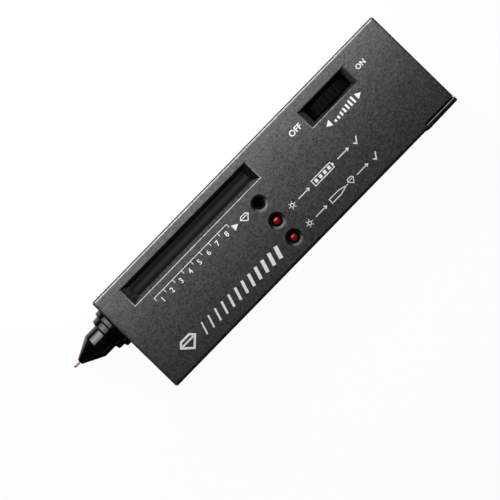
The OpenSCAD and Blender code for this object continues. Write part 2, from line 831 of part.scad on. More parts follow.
module control_shaft() {
    color("#b8babd")
        difference() {
            union() {
                on_wheel(shaft_t0)
                    cylinder(r = shaft_r, h = wheel_t0 - shaft_t0);
                on_wheel(wheel_t0 - collar_t)
                    cylinder(r = shaft_r + 0.9, h = collar_t);
                on_wheel(wheel_t0 - collar_t / 2)
                    difference() {
                        cylinder(r = shaft_r, h = wheel_w + collar_t / 2 - 0.2);
                        translate([0, 0, collar_t / 2 + 1])
                            shaft_flat(wheel_w);
                    }
            }
            on_wheel(wheel_t1 - 3.6)
                cylinder(r = 0.75, h = 6);
        }
}

// Outline of the thumbwheel with its ribs
module rib_outline() {
    r = wheel_d / 2;
    step = 360 / wheel_ribs;
    polygon([for (i = [0 : wheel_ribs - 1])
                for (q = [[r - rib_h, 0.02], [r, 0.2], [r, 0.6], [r - rib_h, 0.78]])
                    q[0] * [cos((i + q[1]) * step), sin((i + q[1]) * step)]]);
}

module thumbwheel() {
    r = wheel_d / 2 + 0.05;
    h = wheel_w / 2;
    rim = r - 2;
    hub = hub_d / 2;
    edge = 0.45;
    color("#1a1b1c")
        on_wheel(wheel_tm)
            difference() {
                intersection() {
                    linear_extrude(wheel_w + 1, center = true)
                        rib_outline();
                    rotate_extrude()
                        polygon([[0, -h], [hub, -h], [hub, web_sink - h], [rim, web_sink - h],
                                 [rim, -h], [r - edge, -h], [r, edge - h], [r, h - edge],
                                 [r - edge, h], [rim, h], [rim, h - web_sink], [hub, h - web_sink],
                                 [hub, h], [0, h]]);
                }
                difference() {
                    translate([0, 0, -wheel_w])
                        cylinder(r = shaft_r + 0.05, h = wheel_w * 2);
                    translate([0.05, 0, 1 - h])
                        shaft_flat(wheel_w * 2);
                }
            }
}

module wheel_screw() {
    color("#8d8f92")
        on_wheel(wheel_t1)
            difference() {
                union() {
                    cylinder(r = 2.2, h = 0.9);
                    translate([0, 0, -3.2])
                        cylinder(r = 0.7, h = 3.4);
                }
                translate([-2.5, -0.25, 0.45])
                    cube([5, 0.5, 1]);
            }
}

// Chip with a row of legs on each long side
module chip(s, t, legs) {
    half = chip_w / 2 + leg_w / 2 + 0.05;
    block(s, s + legs * leg_pitch, t - chip_w / 2, t + chip_w / 2, board_z1 + 0.5, board_z1 + 0.5 + chip_h);
    for (i = [0 : legs - 1])
        for (k = [-1, 1])
            block(s + (i + 0.5) * leg_pitch - leg_w / 2, s + (i + 0.5) * leg_pitch + leg_w / 2,
                  t + k * half - leg_w / 2 - 0.1, t + k * half + leg_w / 2 + 0.1, board_z1,
                  board_z1 + 0.5 + chip_h / 2);
}

module driver_chips() {
    color("#202022") {
        chip(board_s + row_s, row_a, 7);
        chip(chip_b_s, row_b, 4);
    }
}

module capacitors() {
    r = cap_d / 2;
    color("#25304f")
        for (i = [0, 1, 2])
            translate([case_x(cap_s + i * (cap_d + part_gap)), case_y(row_c), board_z1])
                rotate_extrude()
                    polygon([[0, 0], [r - 0.2, 0], [r, 0.4], [r - 0.2, 0.9], [r, 1.3], [r, cap_h - 0.2],
                             [r - 0.2, cap_h], [r - 0.6, cap_h], [r - 0.6, cap_h - 0.2], [0, cap_h - 0.2]]);
}

// Resistor lying across the board on its two bent leads
module resistor(s, t) {
    r = resistor_d / 2;
    h = resistor_l / 2;
    e = resistor_span / 2;
    z = board_z1 + r + 0.05;
    translate([case_x(s), case_y(t), z])
        rotate([-90, 0, 0])
            rotate_extrude()
                polygon([[0, -e], [0.25, -e], [0.25, -h], [r - 0.05, -h], [r, 0.3 - h], [r, 0.9 - h],
                         [r - 0.2, 1.2 - h], [r - 0.2, h - 1.2], [r, h - 0.9], [r, h - 0.3], [r - 0.05, h],
                         [0.25, h], [0.25, e], [0, e]]);
    for (k = [-1, 1])
        post(s, t + k * e, board_z1, z + 0.3, 0.32);
}

module resistors() {
    color("#c9b48a")
        for (i = [0 : 3])
            resistor(resistor_s + resistor_pitch * i, row_b);
}

module trimmer() {
    h = trimmer_w / 2;
    color("#2f63b0")
        difference() {
            union() {
                block(trimmer_s, trimmer_s + trimmer_w, row_b - h, row_b + h, board_z1, board_z1 + trimmer_h);
                post(trimmer_s + h, row_b, board_z1 + trimmer_h - 0.2, board_z1 + trimmer_h + 0.6, h - 1);
            }
            block(trimmer_s + 1.3, trimmer_s + trimmer_w - 1.3, row_b - 0.3, row_b + 0.3,
                  board_z1 + trimmer_h + 0.1, board_z1 + trimmer_h + 2);
        }
}

module probe_nose() {
    e = collar_edge_r;
    p1 = collar1_l;
    p2 = p1 + collar2_l;
    p3 = p2 + barrel_l;
    r1 = collar1_d / 2;
    r2 = collar2_d / 2;
    r3 = barrel_d / 2;
    back = -(wall + fit_gap);
    color("#19191a")
        on_probe()
            rotate_extrude($fn = 96)
                polygon(concat(
                    [[bore_r, -tail_l], [tail_d / 2, -tail_l], [tail_d / 2, back - flange_t],
                     [flange_d / 2, back - flange_t], [flange_d / 2, back], [neck_d / 2, back],
                     [neck_d / 2, fit_gap], [r1 - 0.15, fit_gap], [r1, fit_gap + 0.25]],
                    [for (a = [0 : 30 : 90]) [r1 - e + e * cos(a), p1 - 0.25 - e + e * sin(a)]],
                    [[r2 + 0.1, p1]],
                    [for (a = [0 : 30 : 90]) [r2 - e + e * cos(a), p2 - 0.3 - e + e * sin(a)]],
                    [[r3 + 0.1, p2], [r3, p2 + 0.1]],
                    [[r3, p3 - 0.5], [r3 - 0.06, p3 - 0.1], [r3 - 0.3, p3 + 0.35]],
                    [[nose_end_d / 2 + 0.12, nose_l - 0.25], [nose_end_d / 2 - 0.1, nose_l],
                     [guide_d / 2, nose_l], [guide_d / 2, stop_p], [bore_r, stop_p]]));
}

module spring_plug() {
    color("#6f7276")
        on_probe()
            translate([0, 0, -tail_l])
                difference() {
                    union() {
                        cylinder(r = bore_r - 0.05, h = plug_l);
                        translate([0, 0, -plug_head_t])
                            cylinder(r = bore_r + 1, h = plug_head_t);
                    }
                    for (k = [-1, 1])
                        translate([0, k * 0.8, -plug_head_t - 1])
                            cylinder(r = 0.55, h = plug_l + plug_head_t + 2);
                }
}

// Tube that follows a list of points, with flat ends
function unit(v) = v / norm(v);
function heading(p, i) = unit(p[min(i + 1, len(p) - 1)] - p[max(i - 1, 0)]);
function ring(p, i, r, n, ref) =
    let (h = heading(p, i), u = unit(cross(h, ref)), v = cross(h, u))
    [for (k = [0 : n - 1]) p[i] + r * (cos(360 * k / n) * u + sin(360 * k / n) * v)];
module tube(p, r, n, ref) {
    m = len(p);
    polyhedron(
        [for (i = [0 : m - 1]) each ring(p, i, r, n, ref)],
        concat(
            [for (i = [0 : m - 2]) for (k = [0 : n - 1])
                [i * n + k, (i + 1) * n + (k + 1) % n, i * n + (k + 1) % n]],
            [for (i = [0 : m - 2]) for (k = [0 : n - 1])
                [i * n + k, (i + 1) * n + k, (i + 1) * n + (k + 1) % n]],
            [for (k = [1 : n - 2]) [0, k, k + 1]],
            [for (k = [1 : n - 2]) [(m - 1) * n, (m - 1) * n + k + 1, (m - 1) * n + k]]));
}

// Smooth run through a list of points
function smooth(q, steps) =
    [for (i = [0 : len(q) - 2])
        let (a = q[max(i - 1, 0)], b = q[i], c = q[i + 1], d = q[min(i + 2, len(q) - 1)])
        for (j = [0 : (i == len(q) - 2 ? steps : steps - 1)])
            let (u = j / steps)
            0.5 * (2 * b + (c - a) * u + (2 * a - 5 * b + 4 * c - d) * u * u
                   + (3 * b - a - 3 * c + d) * u * u * u)];

// Turns of the probe spring, from the plug to the tip carrier
spring_points =
    [for (i = [0 : spring_turns * spring_rings])
        [spring_r * cos(360 * i / spring_rings), spring_r * sin(360 * i / spring_rings),
         plug_p + spring_wire / 2 + 0.05
         + (spring_l - spring_wire - 0.1) * i / (spring_turns * spring_rings)]];
spring_gap = min([for (i = [0 : len(spring_points) - 1 - spring_rings])
    norm(spring_points[i + spring_rings] - spring_points[i]) - spring_wire]);
echo(least_gap_between_spring_turns = spring_gap);

module probe_spring() {
    color("#9fa2a6")
        on_probe()
            tube(spring_points, spring_wire / 2, 6, [0, 0, 1]);
}

module tip_carrier() {
    color("#b98b3e")
        on_probe()
            difference() {
                translate([0, 0, carrier_p])
                    cylinder(r = carrier_r, h = carrier_l);
                translate([0, 0, carrier_p - 1])
                    cylinder(r = 1, h = head_p - carrier_p + 1);
                translate([0, 0, carrier_p])
                    cylinder(r = needle_d / 2 + 0.05, h = carrier_l + 1);
            }
}

module probe_tip() {
    r = needle_d / 2;
    color("#c07a4a")
        on_probe()
            rotate_extrude()
                polygon([[0, head_p - 1], [0.95, head_p - 1], [0.95, head_p], [r, head_p],
                         [r, probe_reach - 0.5], [r * 0.75, probe_reach - 0.12],
                         [r * 0.4, probe_reach], [0, probe_reach]]);
}

module tip_heater() {
    color("#d8d2c0")
        on_probe()
            translate([0, 0, head_p - 1 - heater_l])
                cylinder(r = 0.9, h = heater_l);
}

// Lead from the plug's hole to the board
module probe_lead(k) {
    x0 = case_x(tail_l + plug_head_t);
    y0 = case_y(probe_t) + k * 0.8;
    x1 = case_x(board_s + 3 - k * 0.7);
    y1 = case_y(holder_t1 + 2.2 - k * 0.8);
    run = smooth([[x0 - 0.2, y0, part_z], [x0 + 0.6, y0, part_z], [x0 + 1.6, y0 - 0.5, part_z + 1.2],
                  [x1 - 0.7, y1 + 0.5, board_z1 + 2.4], [x1, y1, board_z1 + 1.5],
                  [x1, y1, board_z1 + 0.8]], 3);
    tube(concat([[x0 - 1, y0, part_z]], run, [[x1, y1, board_z1]]), 0.4, 8, [0.3, 0.9, 0.2]);
}

module probe_leads() {
    color("#e9e7e2") {
        probe_lead(-1);
        probe_lead(1);
    }
}

module battery() {
    color("#3b4047")
        translate([case_x(battery_s0), 0, 0])
            rotate([90, 0, 90])
                linear_extrude(battery_l)
                    translate([case_y(battery_tm), battery_zm]) {
                        square([battery_w - 4, battery_t], center = true);
                        square([battery_w, battery_t - 4], center = true);
                        for (i = [-1, 1])
                            for (j = [-1, 1])
                                translate([i * (battery_w / 2 - 2), j * (battery_t / 2 - 2)])
                                    circle(2);
                    }
}

// Turns what follows so that its +Z points out of the battery's terminal end
module on_battery(t) {
    translate([case_x(battery_s0), case_y(t), battery_zm])
        rotate([0, -90, 0])
            children();
}

module battery_terminals() {
    color("#c3c5c8") {
        on_battery(battery_tm - stud_pitch / 2)
            rotate_extrude()
                polygon([[0, 0], [stud_d / 2, 0], [stud_d / 2 - 0.3, 0.9], [stud_d / 2 - 0.1, stud_h - 0.3],
                         [stud_d / 2 - 0.4, stud_h], [0, stud_h]]);
        on_battery(battery_tm + stud_pitch / 2)
            difference() {
                cylinder(d = socket_d, h = stud_h, $fn = 6);
                translate([0, 0, 0.5])
                    cylinder(d = stud_d, h = stud_h);
            }
    }
}

module battery_snap() {
    color("#26272a")
        difference() {
            union() {
                block(snap_s, stud_s, battery_t0 + 1, battery_t1 - 1, battery_zm - battery_t / 2 + 1,
                      battery_zm + battery_t / 2 - 1);
                for (k = [-1, 1])
                    on_battery(battery_tm + k * stud_pitch / 2)
                        translate([0, 0, 0.4])
                            cylinder(d = socket_d + 0.4 + 2 * snap_skin, h = stud_h - 0.3);
            }
            for (k = [-1, 1])
                on_battery(battery_tm + k * stud_pitch / 2)
                    translate([0, 0, -1])
                        cylinder(d = socket_d + 0.4, h = stud_h + 1);
        }
}

// Lead from the snap to the board, over the wall of the battery bay
module snap_lead(k) {
    x0 = case_x(snap_s);
    y0 = case_y(battery_tm) + k * 3;
    x1 = case_x(board_s1 - 2.2);
    y1 = case_y(battery_tm - 2) + k * 1.5;
    z0 = part_z + 2.4;
    run = smooth([[x0 - 0.8, y0, z0], [x0 - 1.8, y0, z0], [case_x(bay_s1), (y0 * 2 + y1) / 3, z0 + 0.4],
                  [case_x(bay_s0), (y0 + y1 * 2) / 3, z0 + 0.4], [x1 + 0.5, y1, board_z1 + 2.5],
                  [x1, y1, board_z1 + 1.6], [x1, y1, board_z1 + 0.9]], 3);
    tube(concat([[x0, y0, z0]], run, [[x1, y1, board_z1]]), 0.6, 8, [0.2, 0.9, 0.3]);
}

module snap_lead_red() {
    color("#b3211f")
        snap_lead(1);
}

module snap_lead_black() {
    color("#1c1c1d")
        snap_lead(-1);
}

front_cover();
rear_cover();
battery_door();
display_window();
case_screws();
main_board();
board_screws();
bar_lamps();
bar_lamp_holder();
battery_lamp();
ready_lamp();
lamp_spacers();
buzzer();
volume_control();
control_shaft();
thumbwheel();
wheel_screw();
driver_chips();
capacitors();
resistors();
trimmer();
probe_nose();
spring_plug();
probe_spring();
tip_carrier();
probe_tip();
tip_heater();
probe_leads();
battery();
battery_terminals();
battery_snap();
snap_lead_red();
snap_lead_black();
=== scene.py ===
import json
import math
import bmesh
import bpy
from mathutils import Matrix, Vector

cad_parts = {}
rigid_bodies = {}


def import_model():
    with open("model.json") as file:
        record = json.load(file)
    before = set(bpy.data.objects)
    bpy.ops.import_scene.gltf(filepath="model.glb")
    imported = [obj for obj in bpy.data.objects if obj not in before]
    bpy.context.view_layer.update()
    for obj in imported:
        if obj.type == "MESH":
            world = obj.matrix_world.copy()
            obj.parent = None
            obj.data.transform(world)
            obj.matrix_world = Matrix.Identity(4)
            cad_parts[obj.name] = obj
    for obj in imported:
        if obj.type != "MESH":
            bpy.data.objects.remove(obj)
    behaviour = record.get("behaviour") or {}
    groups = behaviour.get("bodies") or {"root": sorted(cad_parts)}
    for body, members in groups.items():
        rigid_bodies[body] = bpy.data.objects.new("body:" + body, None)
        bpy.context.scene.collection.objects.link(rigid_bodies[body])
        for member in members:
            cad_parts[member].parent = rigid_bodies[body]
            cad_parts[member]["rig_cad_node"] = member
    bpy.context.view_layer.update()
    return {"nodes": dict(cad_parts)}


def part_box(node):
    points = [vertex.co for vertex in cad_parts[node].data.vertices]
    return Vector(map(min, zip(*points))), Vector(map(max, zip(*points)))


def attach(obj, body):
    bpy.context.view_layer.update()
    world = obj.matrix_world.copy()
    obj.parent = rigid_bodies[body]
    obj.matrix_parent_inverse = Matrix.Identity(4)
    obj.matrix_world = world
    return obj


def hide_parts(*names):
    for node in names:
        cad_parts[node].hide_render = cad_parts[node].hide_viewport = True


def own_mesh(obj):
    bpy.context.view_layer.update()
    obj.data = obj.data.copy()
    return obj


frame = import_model()
nodes = frame["nodes"]
scene = bpy.context.scene
scene.view_settings.view_transform = "Standard"

# Camera: a long lens straight above the front face, turned so that the case runs up to the right.
# It is aimed at the point of the face that lies in the middle of a 500 x 500 image.
mm = 0.001
case_low, case_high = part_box("front_cover")
face_z = case_high.z


def spot(s, t, z=face_z):
    """Point at s mm from the probe end and t mm from the window side of the case."""
    return Vector((case_low.x + s * mm, case_high.y - t * mm, z))


image_right = Vector((0.698, -0.716, 0)).normalized()
image_up = Vector((0, 0, 1)).cross(image_right)
camera_height = 925 * mm
camera_aim = spot(49.8, 25.5)
bpy.ops.object.camera_add(location=camera_aim + Vector((0, 0, camera_height)))
camera = bpy.context.active_object
camera.data.lens = 200
camera.data.sensor_width = 36
camera.rotation_euler = Matrix((image_right, image_up, (0, 0, 1))).transposed().to_euler()
scene.camera = camera

# Studio light: one broad softbox that leans over the window side of the case, close enough for the
# light to fall off across the face. Its lamps make a brighter zone in the middle of the cloth.
softbox_skew = 0.012


def add_lamp(name, top, foot, length, power):
    """Lamp panel along the case, from its top edge to its foot, that shines down on the case."""
    along = Vector((1, softbox_skew, 0)).normalized()
    back = along.cross(foot - top).normalized()
    bpy.ops.object.light_add(type="AREA", location=(top + foot) / 2)
    lamp = bpy.context.active_object
    lamp.name = name
    lamp.data.shape = "RECTANGLE"
    lamp.data.size = length
    lamp.data.size_y = (foot - top).length
    lamp.data.energy = power
    lamp.rotation_euler = Matrix((along, back.cross(along), back)).transposed().to_euler()
    lamp.visible_camera = False


softbox_x = 20 * mm
softbox_top = Vector((softbox_x, 24 * mm, 80 * mm))
softbox_foot = Vector((softbox_x, 168 * mm, 60 * mm))
add_lamp("softbox", softbox_top, softbox_foot, length=221 * mm, power=0.256)
core_drop = Vector((0, 0, 1 * mm))
core_top = softbox_top.lerp(softbox_foot, 0.16) - core_drop
core_foot = softbox_top.lerp(softbox_foot, 0.51) - core_drop
add_lamp("softbox_core", core_top, core_foot, length=206 * mm, power=0.0615)

# Room: white to the eye. Mirror-like faces show it white round the horizon and dim overhead, and other
# light from the room is an even grey.
room_fill = 0.15
room_top = 0.015
horizon_band = 0.06


def combine(tree, how, first, second):
    """Two values added, multiplied or compared."""
    step = tree.nodes.new("ShaderNodeMath")
    step.operation = how
    tree.links.new(first, step.inputs[0])
    tree.links.new(second, step.inputs[1])
    return step.outputs[0]


world = bpy.data.worlds.new("room")
scene.world = world
world.use_nodes = True
room = world.node_tree.nodes
room_link = world.node_tree.links.new
room.clear()
room_way = room.new("ShaderNodeTexCoord")
room_split = room.new("ShaderNodeSeparateXYZ")
room_link(room_way.outputs["Generated"], room_split.inputs[0])
room_rise = room.new("ShaderNodeMapRange")
room_rise.interpolation_type = "SMOOTHSTEP"
room_rise.inputs["From Min"].default_value = 0
room_rise.inputs["From Max"].default_value = horizon_band
room_rise.inputs["To Min"].default_value = 1
room_rise.inputs["To Max"].default_value = room_top
room_link(room_split.outputs["Z"], room_rise.inputs["Value"])
room_eye = room.new("ShaderNodeLightPath")
room_glow = room_rise.outputs["Result"]
room_level = combine(world.node_tree, "MAXIMUM", room_glow, room_eye.outputs["Is Camera Ray"])
room_seen = room.new("ShaderNodeBackground")
room_link(room_level, room_seen.inputs["Strength"])
room_lit = room.new("ShaderNodeBackground")
room_lit.inputs["Strength"].default_value = room_fill


def seen_directly(tree):
    """Light path value that is 1 for what the eye, a mirror-like face or clear plastic shows."""
    path = tree.nodes.new("ShaderNodeLightPath")
    total = path.outputs["Is Camera Ray"]
    for kind in ("Is Glossy Ray", "Is Transmission Ray"):
        total = combine(tree, "MAXIMUM", total, path.outputs[kind])
    return total


room_mix = room.new("ShaderNodeMixShader")
room_link(seen_directly(world.node_tree), room_mix.inputs[0])
room_link(room_lit.outputs[0], room_mix.inputs[1])
room_link(room_seen.outputs[0], room_mix.inputs[2])
room_out = room.new("ShaderNodeOutputWorld")
room_link(room_mix.outputs[0], room_out.inputs[0])

# Floor: a plain sheet of white paper that the case lies on. The eye sees it almost white, and a small
# share of true paper keeps the soft shadow of the case.
floor_radius = 6
floor_gap = 0.05 * mm
floor_white = 0.92
floor_share = 0.96
bpy.ops.mesh.primitive_circle_add(
    vertices=96, radius=floor_radius, fill_type="NGON", location=(0, 0, -floor_gap)
)
floor = bpy.context.active_object
floor.name = "floor"
floor_paint = bpy.data.materials.new("floor_paper")
floor_paint.use_nodes = True
paper = floor_paint.node_tree.nodes
paper_link = floor_paint.node_tree.links.new
paper.clear()
paper_lit = paper.new("ShaderNodeBsdfDiffuse")
paper_lit.inputs["Color"].default_value = (floor_white, floor_white, floor_white, 1)
paper_seen = paper.new("ShaderNodeEmission")
paper_share = paper.new("ShaderNodeMath")
paper_share.operation = "MULTIPLY"
paper_link(seen_directly(floor_paint.node_tree), paper_share.inputs[0])
paper_share.inputs[1].default_value = floor_share
paper_mix = paper.new("ShaderNodeMixShader")
paper_link(paper_share.outputs[0], paper_mix.inputs[0])
paper_link(paper_lit.outputs[0], paper_mix.inputs[1])
paper_link(paper_seen.outputs[0], paper_mix.inputs[2])
paper_out = paper.new("ShaderNodeOutputMaterial")
paper_link(paper_mix.outputs[0], paper_out.inputs[0])
floor.data.materials.append(floor_paint)

# Rear cover: the back half of the case, injection moulded in black plastic with a fine sparked grain.
# Four long screws draw it up to the front cover.


def new_finish(name):
    """New material with its node tree, shader and the place on the piece."""
    material = bpy.data.materials.new(name)
    material.use_nodes = True
    tree = material.node_tree
    place = tree.nodes.new("ShaderNodeTexCoord").outputs["Object"]
    return material, tree, tree.nodes["Principled BSDF"], place


def speckle(tree, place, size, detail=4, roughness=0.6):
    """Noise with grains of a size, in metres."""
    noise = tree.nodes.new("ShaderNodeTexNoise")
    noise.inputs["Scale"].default_value = 1 / size
    noise.inputs["Detail"].default_value = detail
    noise.inputs["Roughness"].default_value = roughness
    tree.links.new(place, noise.inputs["Vector"])
    return noise.outputs["Fac"]


def spread(tree, value, low, high, start=0.3, end=0.7):
    """Stretches a value from start..end to low..high."""
    stretch = tree.nodes.new("ShaderNodeMapRange")
    stretch.inputs["From Min"].default_value = start
    stretch.inputs["From Max"].default_value = end
    stretch.inputs["To Min"].default_value = low
    stretch.inputs["To Max"].default_value = high
    tree.links.new(value, stretch.inputs["Value"])
    return stretch.outputs["Result"]


def tints(tree, value, stops):
    """Colour ramp through (position, colour) stops."""
    ramp = tree.nodes.new("ShaderNodeValToRGB")
    steps = ramp.color_ramp.elements
    while len(steps) < len(stops):
        steps.new(0.5)
    for step, (position, colour) in zip(steps, stops):
        step.position = position
        step.color = (*colour, 1)
    tree.links.new(value, ramp.inputs["Fac"])
    return ramp.outputs["Color"]


def shade_of(colour, factor):
    """Colour made lighter or darker."""
    return tuple(min(c * factor, 1) for c in colour)


def pit(tree, skin, value, depth):
    """Small relief in the skin, depth in metres."""
    relief = tree.nodes.new("ShaderNodeBump")
    relief.inputs["Strength"].default_value = 1
    relief.inputs["Distance"].default_value = depth
    tree.links.new(value, relief.inputs["Height"])
    tree.links.new(relief.outputs["Normal"], skin.inputs["Normal"])


def edge_view(tree):
    """Value that is 0 where a surface faces the eye and 1 where it is seen edge on."""
    edge = tree.nodes.new("ShaderNodeLayerWeight")
    edge.inputs["Blend"].default_value = 0.5
    return edge.outputs["Facing"]


def grains(tree, place, size):
    """Random value for each small crater of a spark-worn mould, size in metres."""
    cells = tree.nodes.new("ShaderNodeTexVoronoi")
    cells.inputs["Scale"].default_value = 1 / size
    tree.links.new(place, cells.inputs["Vector"])
    split = tree.nodes.new("ShaderNodeSeparateColor")
    tree.links.new(cells.outputs["Color"], split.inputs[0])
    return split.outputs["Red"]


def grained_plastic(name, colour, roughness, grain, depth, ior=1.5, level=0.5, start=0.16, end=0.42):
    """Moulded plastic with a sparked grain and an uneven tone, matt where it is seen edge on."""
    material, tree, skin, place = new_finish(name)
    skin.inputs["IOR"].default_value = ior
    crater = grains(tree, place, grain)
    cloud = speckle(tree, place, grain * 45, 3)
    shade = tints(tree, crater, [(0, shade_of(colour, 0.5)), (1, shade_of(colour, 1.5))])
    tree.links.new(shade, skin.inputs["Base Color"])
    dull = spread(tree, crater, -0.06 * roughness, 0.06 * roughness, 0, 1)
    haze = spread(tree, cloud, 0.94 * roughness, 1.06 * roughness)
    tree.links.new(combine(tree, "ADD", dull, haze), skin.inputs["Roughness"])
    gloss = spread(tree, edge_view(tree), level, 0, start, end)
    glint = spread(tree, crater, 0.74, 1.26, 0, 1)
    tree.links.new(combine(tree, "MULTIPLY", gloss, glint), skin.inputs["Specular IOR Level"])
    pit(tree, skin, speckle(tree, place, grain, 4, 0.65), depth)
    return material


case_black = (0.020, 0.020, 0.021)
case_grain = 0.5 * mm
case_gloss = 0.65
case_ior = 1.8
case_plastic = grained_plastic(
    "case_plastic", case_black, roughness=0.45, grain=case_grain, depth=0.08 * mm,
    ior=case_ior, level=case_gloss
)
merge_gap = 0.004 * mm
flat_turn = math.radians(0.4)
rim_turn = math.radians(24)
smooth_turn = math.radians(32)
level_facet = 0.985
level_corner = 0.98
height_gap = 0.005 * mm


def copy_of(node, name):
    """Copy of a CAD node with its doubles merged, left in edit mode and selected all over."""
    bpy.ops.object.select_all(action="DESELECT")
    nodes[node].select_set(True)
    bpy.context.view_layer.objects.active = nodes[node]
    bpy.ops.object.duplicate()
    piece = bpy.context.active_object
    piece.name = name
    del piece["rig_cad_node"]
    bpy.ops.object.mode_set(mode="EDIT")
    bpy.ops.mesh.select_mode(type="EDGE")
    bpy.ops.mesh.select_all(action="SELECT")
    bpy.ops.mesh.customdata_custom_splitnormals_clear()
    bpy.ops.mesh.remove_doubles(threshold=merge_gap)
    return piece


def moulding(node, edge_radius, on_edge, settle=None):
    """Copy of a moulded piece, its points settled where asked, with a radius on the picked edges."""
    piece = copy_of(node, node + "_moulding")
    bpy.ops.mesh.dissolve_limited(angle_limit=flat_turn)
    bpy.ops.mesh.select_all(action="DESELECT")
    shape = bmesh.from_edit_mesh(piece.data)
    if settle:
        settle(shape)
        shape.normal_update()
    for edge in shape.edges:
        if edge.is_manifold and edge.calc_face_angle() > rim_turn and on_edge(edge):
            edge.select = True
    bmesh.update_edit_mesh(piece.data)
    bpy.ops.mesh.bevel(offset=edge_radius, segments=3, profile=0.5, affect="EDGES")
    bpy.ops.object.mode_set(mode="OBJECT")
    bpy.ops.object.shade_smooth_by_angle(angle=smooth_turn)
    bpy.ops.object.modifier_add(type="WEIGHTED_NORMAL")
    piece.modifiers["WeightedNormal"].keep_sharp = True
    bpy.ops.object.modifier_apply(modifier="WeightedNormal")
    leans = [Vector(corner.vector) for corner in piece.data.corner_normals]
    for facet in piece.data.polygons:
        if abs(facet.normal.z) > level_facet:
            for k in facet.loop_indices:
                if leans[k].dot(facet.normal) < level_corner:
                    leans[k] = facet.normal.copy()
    piece.data.normals_split_custom_set(leans)
    return piece


def dress(piece, material, body, node):
    """Gives a finished piece its material and the body that it moves with, and hides the node that it takes
    the place of.
    """
    piece.data.materials.clear()
    piece.data.materials.append(material)
    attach(piece, body)
    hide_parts(node)


def at_height(z):
    """Test that picks the edges that lie at a height."""
    return lambda edge: all(abs(v.co.z - z) < height_gap for v in edge.verts)


back_radius = 0.15 * mm
on_back = at_height(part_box("rear_cover")[0].z)
dress(moulding("rear_cover", back_radius, on_back), case_plastic, "case", "rear_cover")

# Case screws: four long self-tapping screws of blackened steel, sunk in the posts of the rear cover.
# They draw the two covers together.


def drawn_metal(name, colour, roughness, along, depth=0.0008 * mm):
    """Metal with fine drawing marks that run along one axis, and a slightly uneven tone."""
    material, tree, skin, place = new_finish(name)
    skin.inputs["Metallic"].default_value = 1
    lines = tree.nodes.new("ShaderNodeMapping")
    lines.inputs["Scale"].default_value = [0.06 if axis == along else 1 for axis in "XYZ"]
    tree.links.new(place, lines.inputs["Vector"])
    marks = speckle(tree, lines.outputs["Vector"], 0.12 * mm, 3)
    cloud = speckle(tree, place, 2 * mm, 4)
    shade = tints(tree, cloud, [(0.3, shade_of(colour, 0.82)), (0.7, shade_of(colour, 1.12))])
    tree.links.new(shade, skin.inputs["Base Color"])
    gloss = spread(tree, marks, roughness - 0.07, roughness + 0.07)
    tree.links.new(gloss, skin.inputs["Roughness"])
    pit(tree, skin, marks, depth)
    return material


def recoat(node, material):
    """Puts a finish on a CAD node."""
    nodes[node].material_slots[0].material = material


recoat("case_screws", drawn_metal("blackened_steel", (0.09, 0.09, 0.10), roughness=0.42, along="Z"))

# Main board: glass laminate under green lacquer, with pale tracks. It hangs on two posts of the front
# cover and carries the lamps, the buzzer and the control.
track_pitch = 1.3 * mm
board_skin, board_tree, board_shader, board_place = new_finish("green_laminate")
tracks = board_tree.nodes.new("ShaderNodeTexBrick")
tracks.inputs["Color1"].default_value = (0.012, 0.085, 0.034, 1)
tracks.inputs["Color2"].default_value = (0.016, 0.105, 0.044, 1)
tracks.inputs["Mortar"].default_value = (0.050, 0.200, 0.085, 1)
tracks.inputs["Scale"].default_value = 1 / track_pitch
tracks.inputs["Mortar Size"].default_value = 0.16
tracks.inputs["Brick Width"].default_value = 6
tracks.inputs["Row Height"].default_value = 1
board_tree.links.new(board_place, tracks.inputs["Vector"])
board_tree.links.new(tracks.outputs["Color"], board_shader.inputs["Base Color"])
board_weave = speckle(board_tree, board_place, 0.5 * mm)
board_tree.links.new(spread(board_tree, board_weave, 0.22, 0.36), board_shader.inputs["Roughness"])
pit(board_tree, board_shader, tracks.outputs["Fac"], 0.02 * mm)
recoat("main_board", board_skin)

# Board screws: two short screws of plated steel. They go through the board into its posts and hold it
# to the front cover.
plated_steel = drawn_metal("plated_steel", (0.58, 0.58, 0.57), roughness=0.30, along="Z")
recoat("board_screws", plated_steel)

# Bar lamps and their holder: twelve rectangular red lamps in a row of windows of a black frame, which
# keeps them in line under the pane. They are soldered to the board.


def coordinate(tree, place, axis):
    """One coordinate of a place or direction."""
    split = tree.nodes.new("ShaderNodeSeparateXYZ")
    tree.links.new(place, split.inputs[0])
    return split.outputs[axis]


def cast_resin(name, painted_shade, pale, roughness, low_z, high_z):
    """Tinted resin with painted shade that darkens it towards its foot, and a few fine flow clouds."""
    material, tree, skin, place = new_finish(name)
    height = spread(tree, coordinate(tree, place, "Z"), 0, 0.85, low_z, high_z)
    flow = tree.nodes.new("ShaderNodeMath")
    flow.operation = "MULTIPLY_ADD"
    tree.links.new(speckle(tree, place, 0.9 * mm, 3), flow.inputs[0])
    flow.inputs[1].default_value = 0.15
    tree.links.new(height, flow.inputs[2])
    tree.links.new(tints(tree, flow.outputs[0], [(0, painted_shade), (1, pale)]), skin.inputs["Base Color"])
    scuff = speckle(tree, place, 0.4 * mm)
    tree.links.new(spread(tree, scuff, roughness * 0.8, roughness * 1.3), skin.inputs["Roughness"])
    return material


bar_low, bar_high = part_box("bar_lamps")
# The bar lamps are painted darker towards their foot: painted shade.
bar_painted_shade = (0.14, 0.008, 0.008)
bar_red = (0.36, 0.020, 0.018)
bar_resin = cast_resin("bar_resin", bar_painted_shade, bar_red, roughness=0.35, low_z=bar_low.z, high_z=bar_high.z)
recoat("bar_lamps", bar_resin)
holder_black = (0.012, 0.012, 0.013)
holder_plastic = grained_plastic(
    "holder_plastic", holder_black, roughness=0.5, grain=0.4 * mm, depth=0.006 * mm
)
recoat("bar_lamp_holder", holder_plastic)

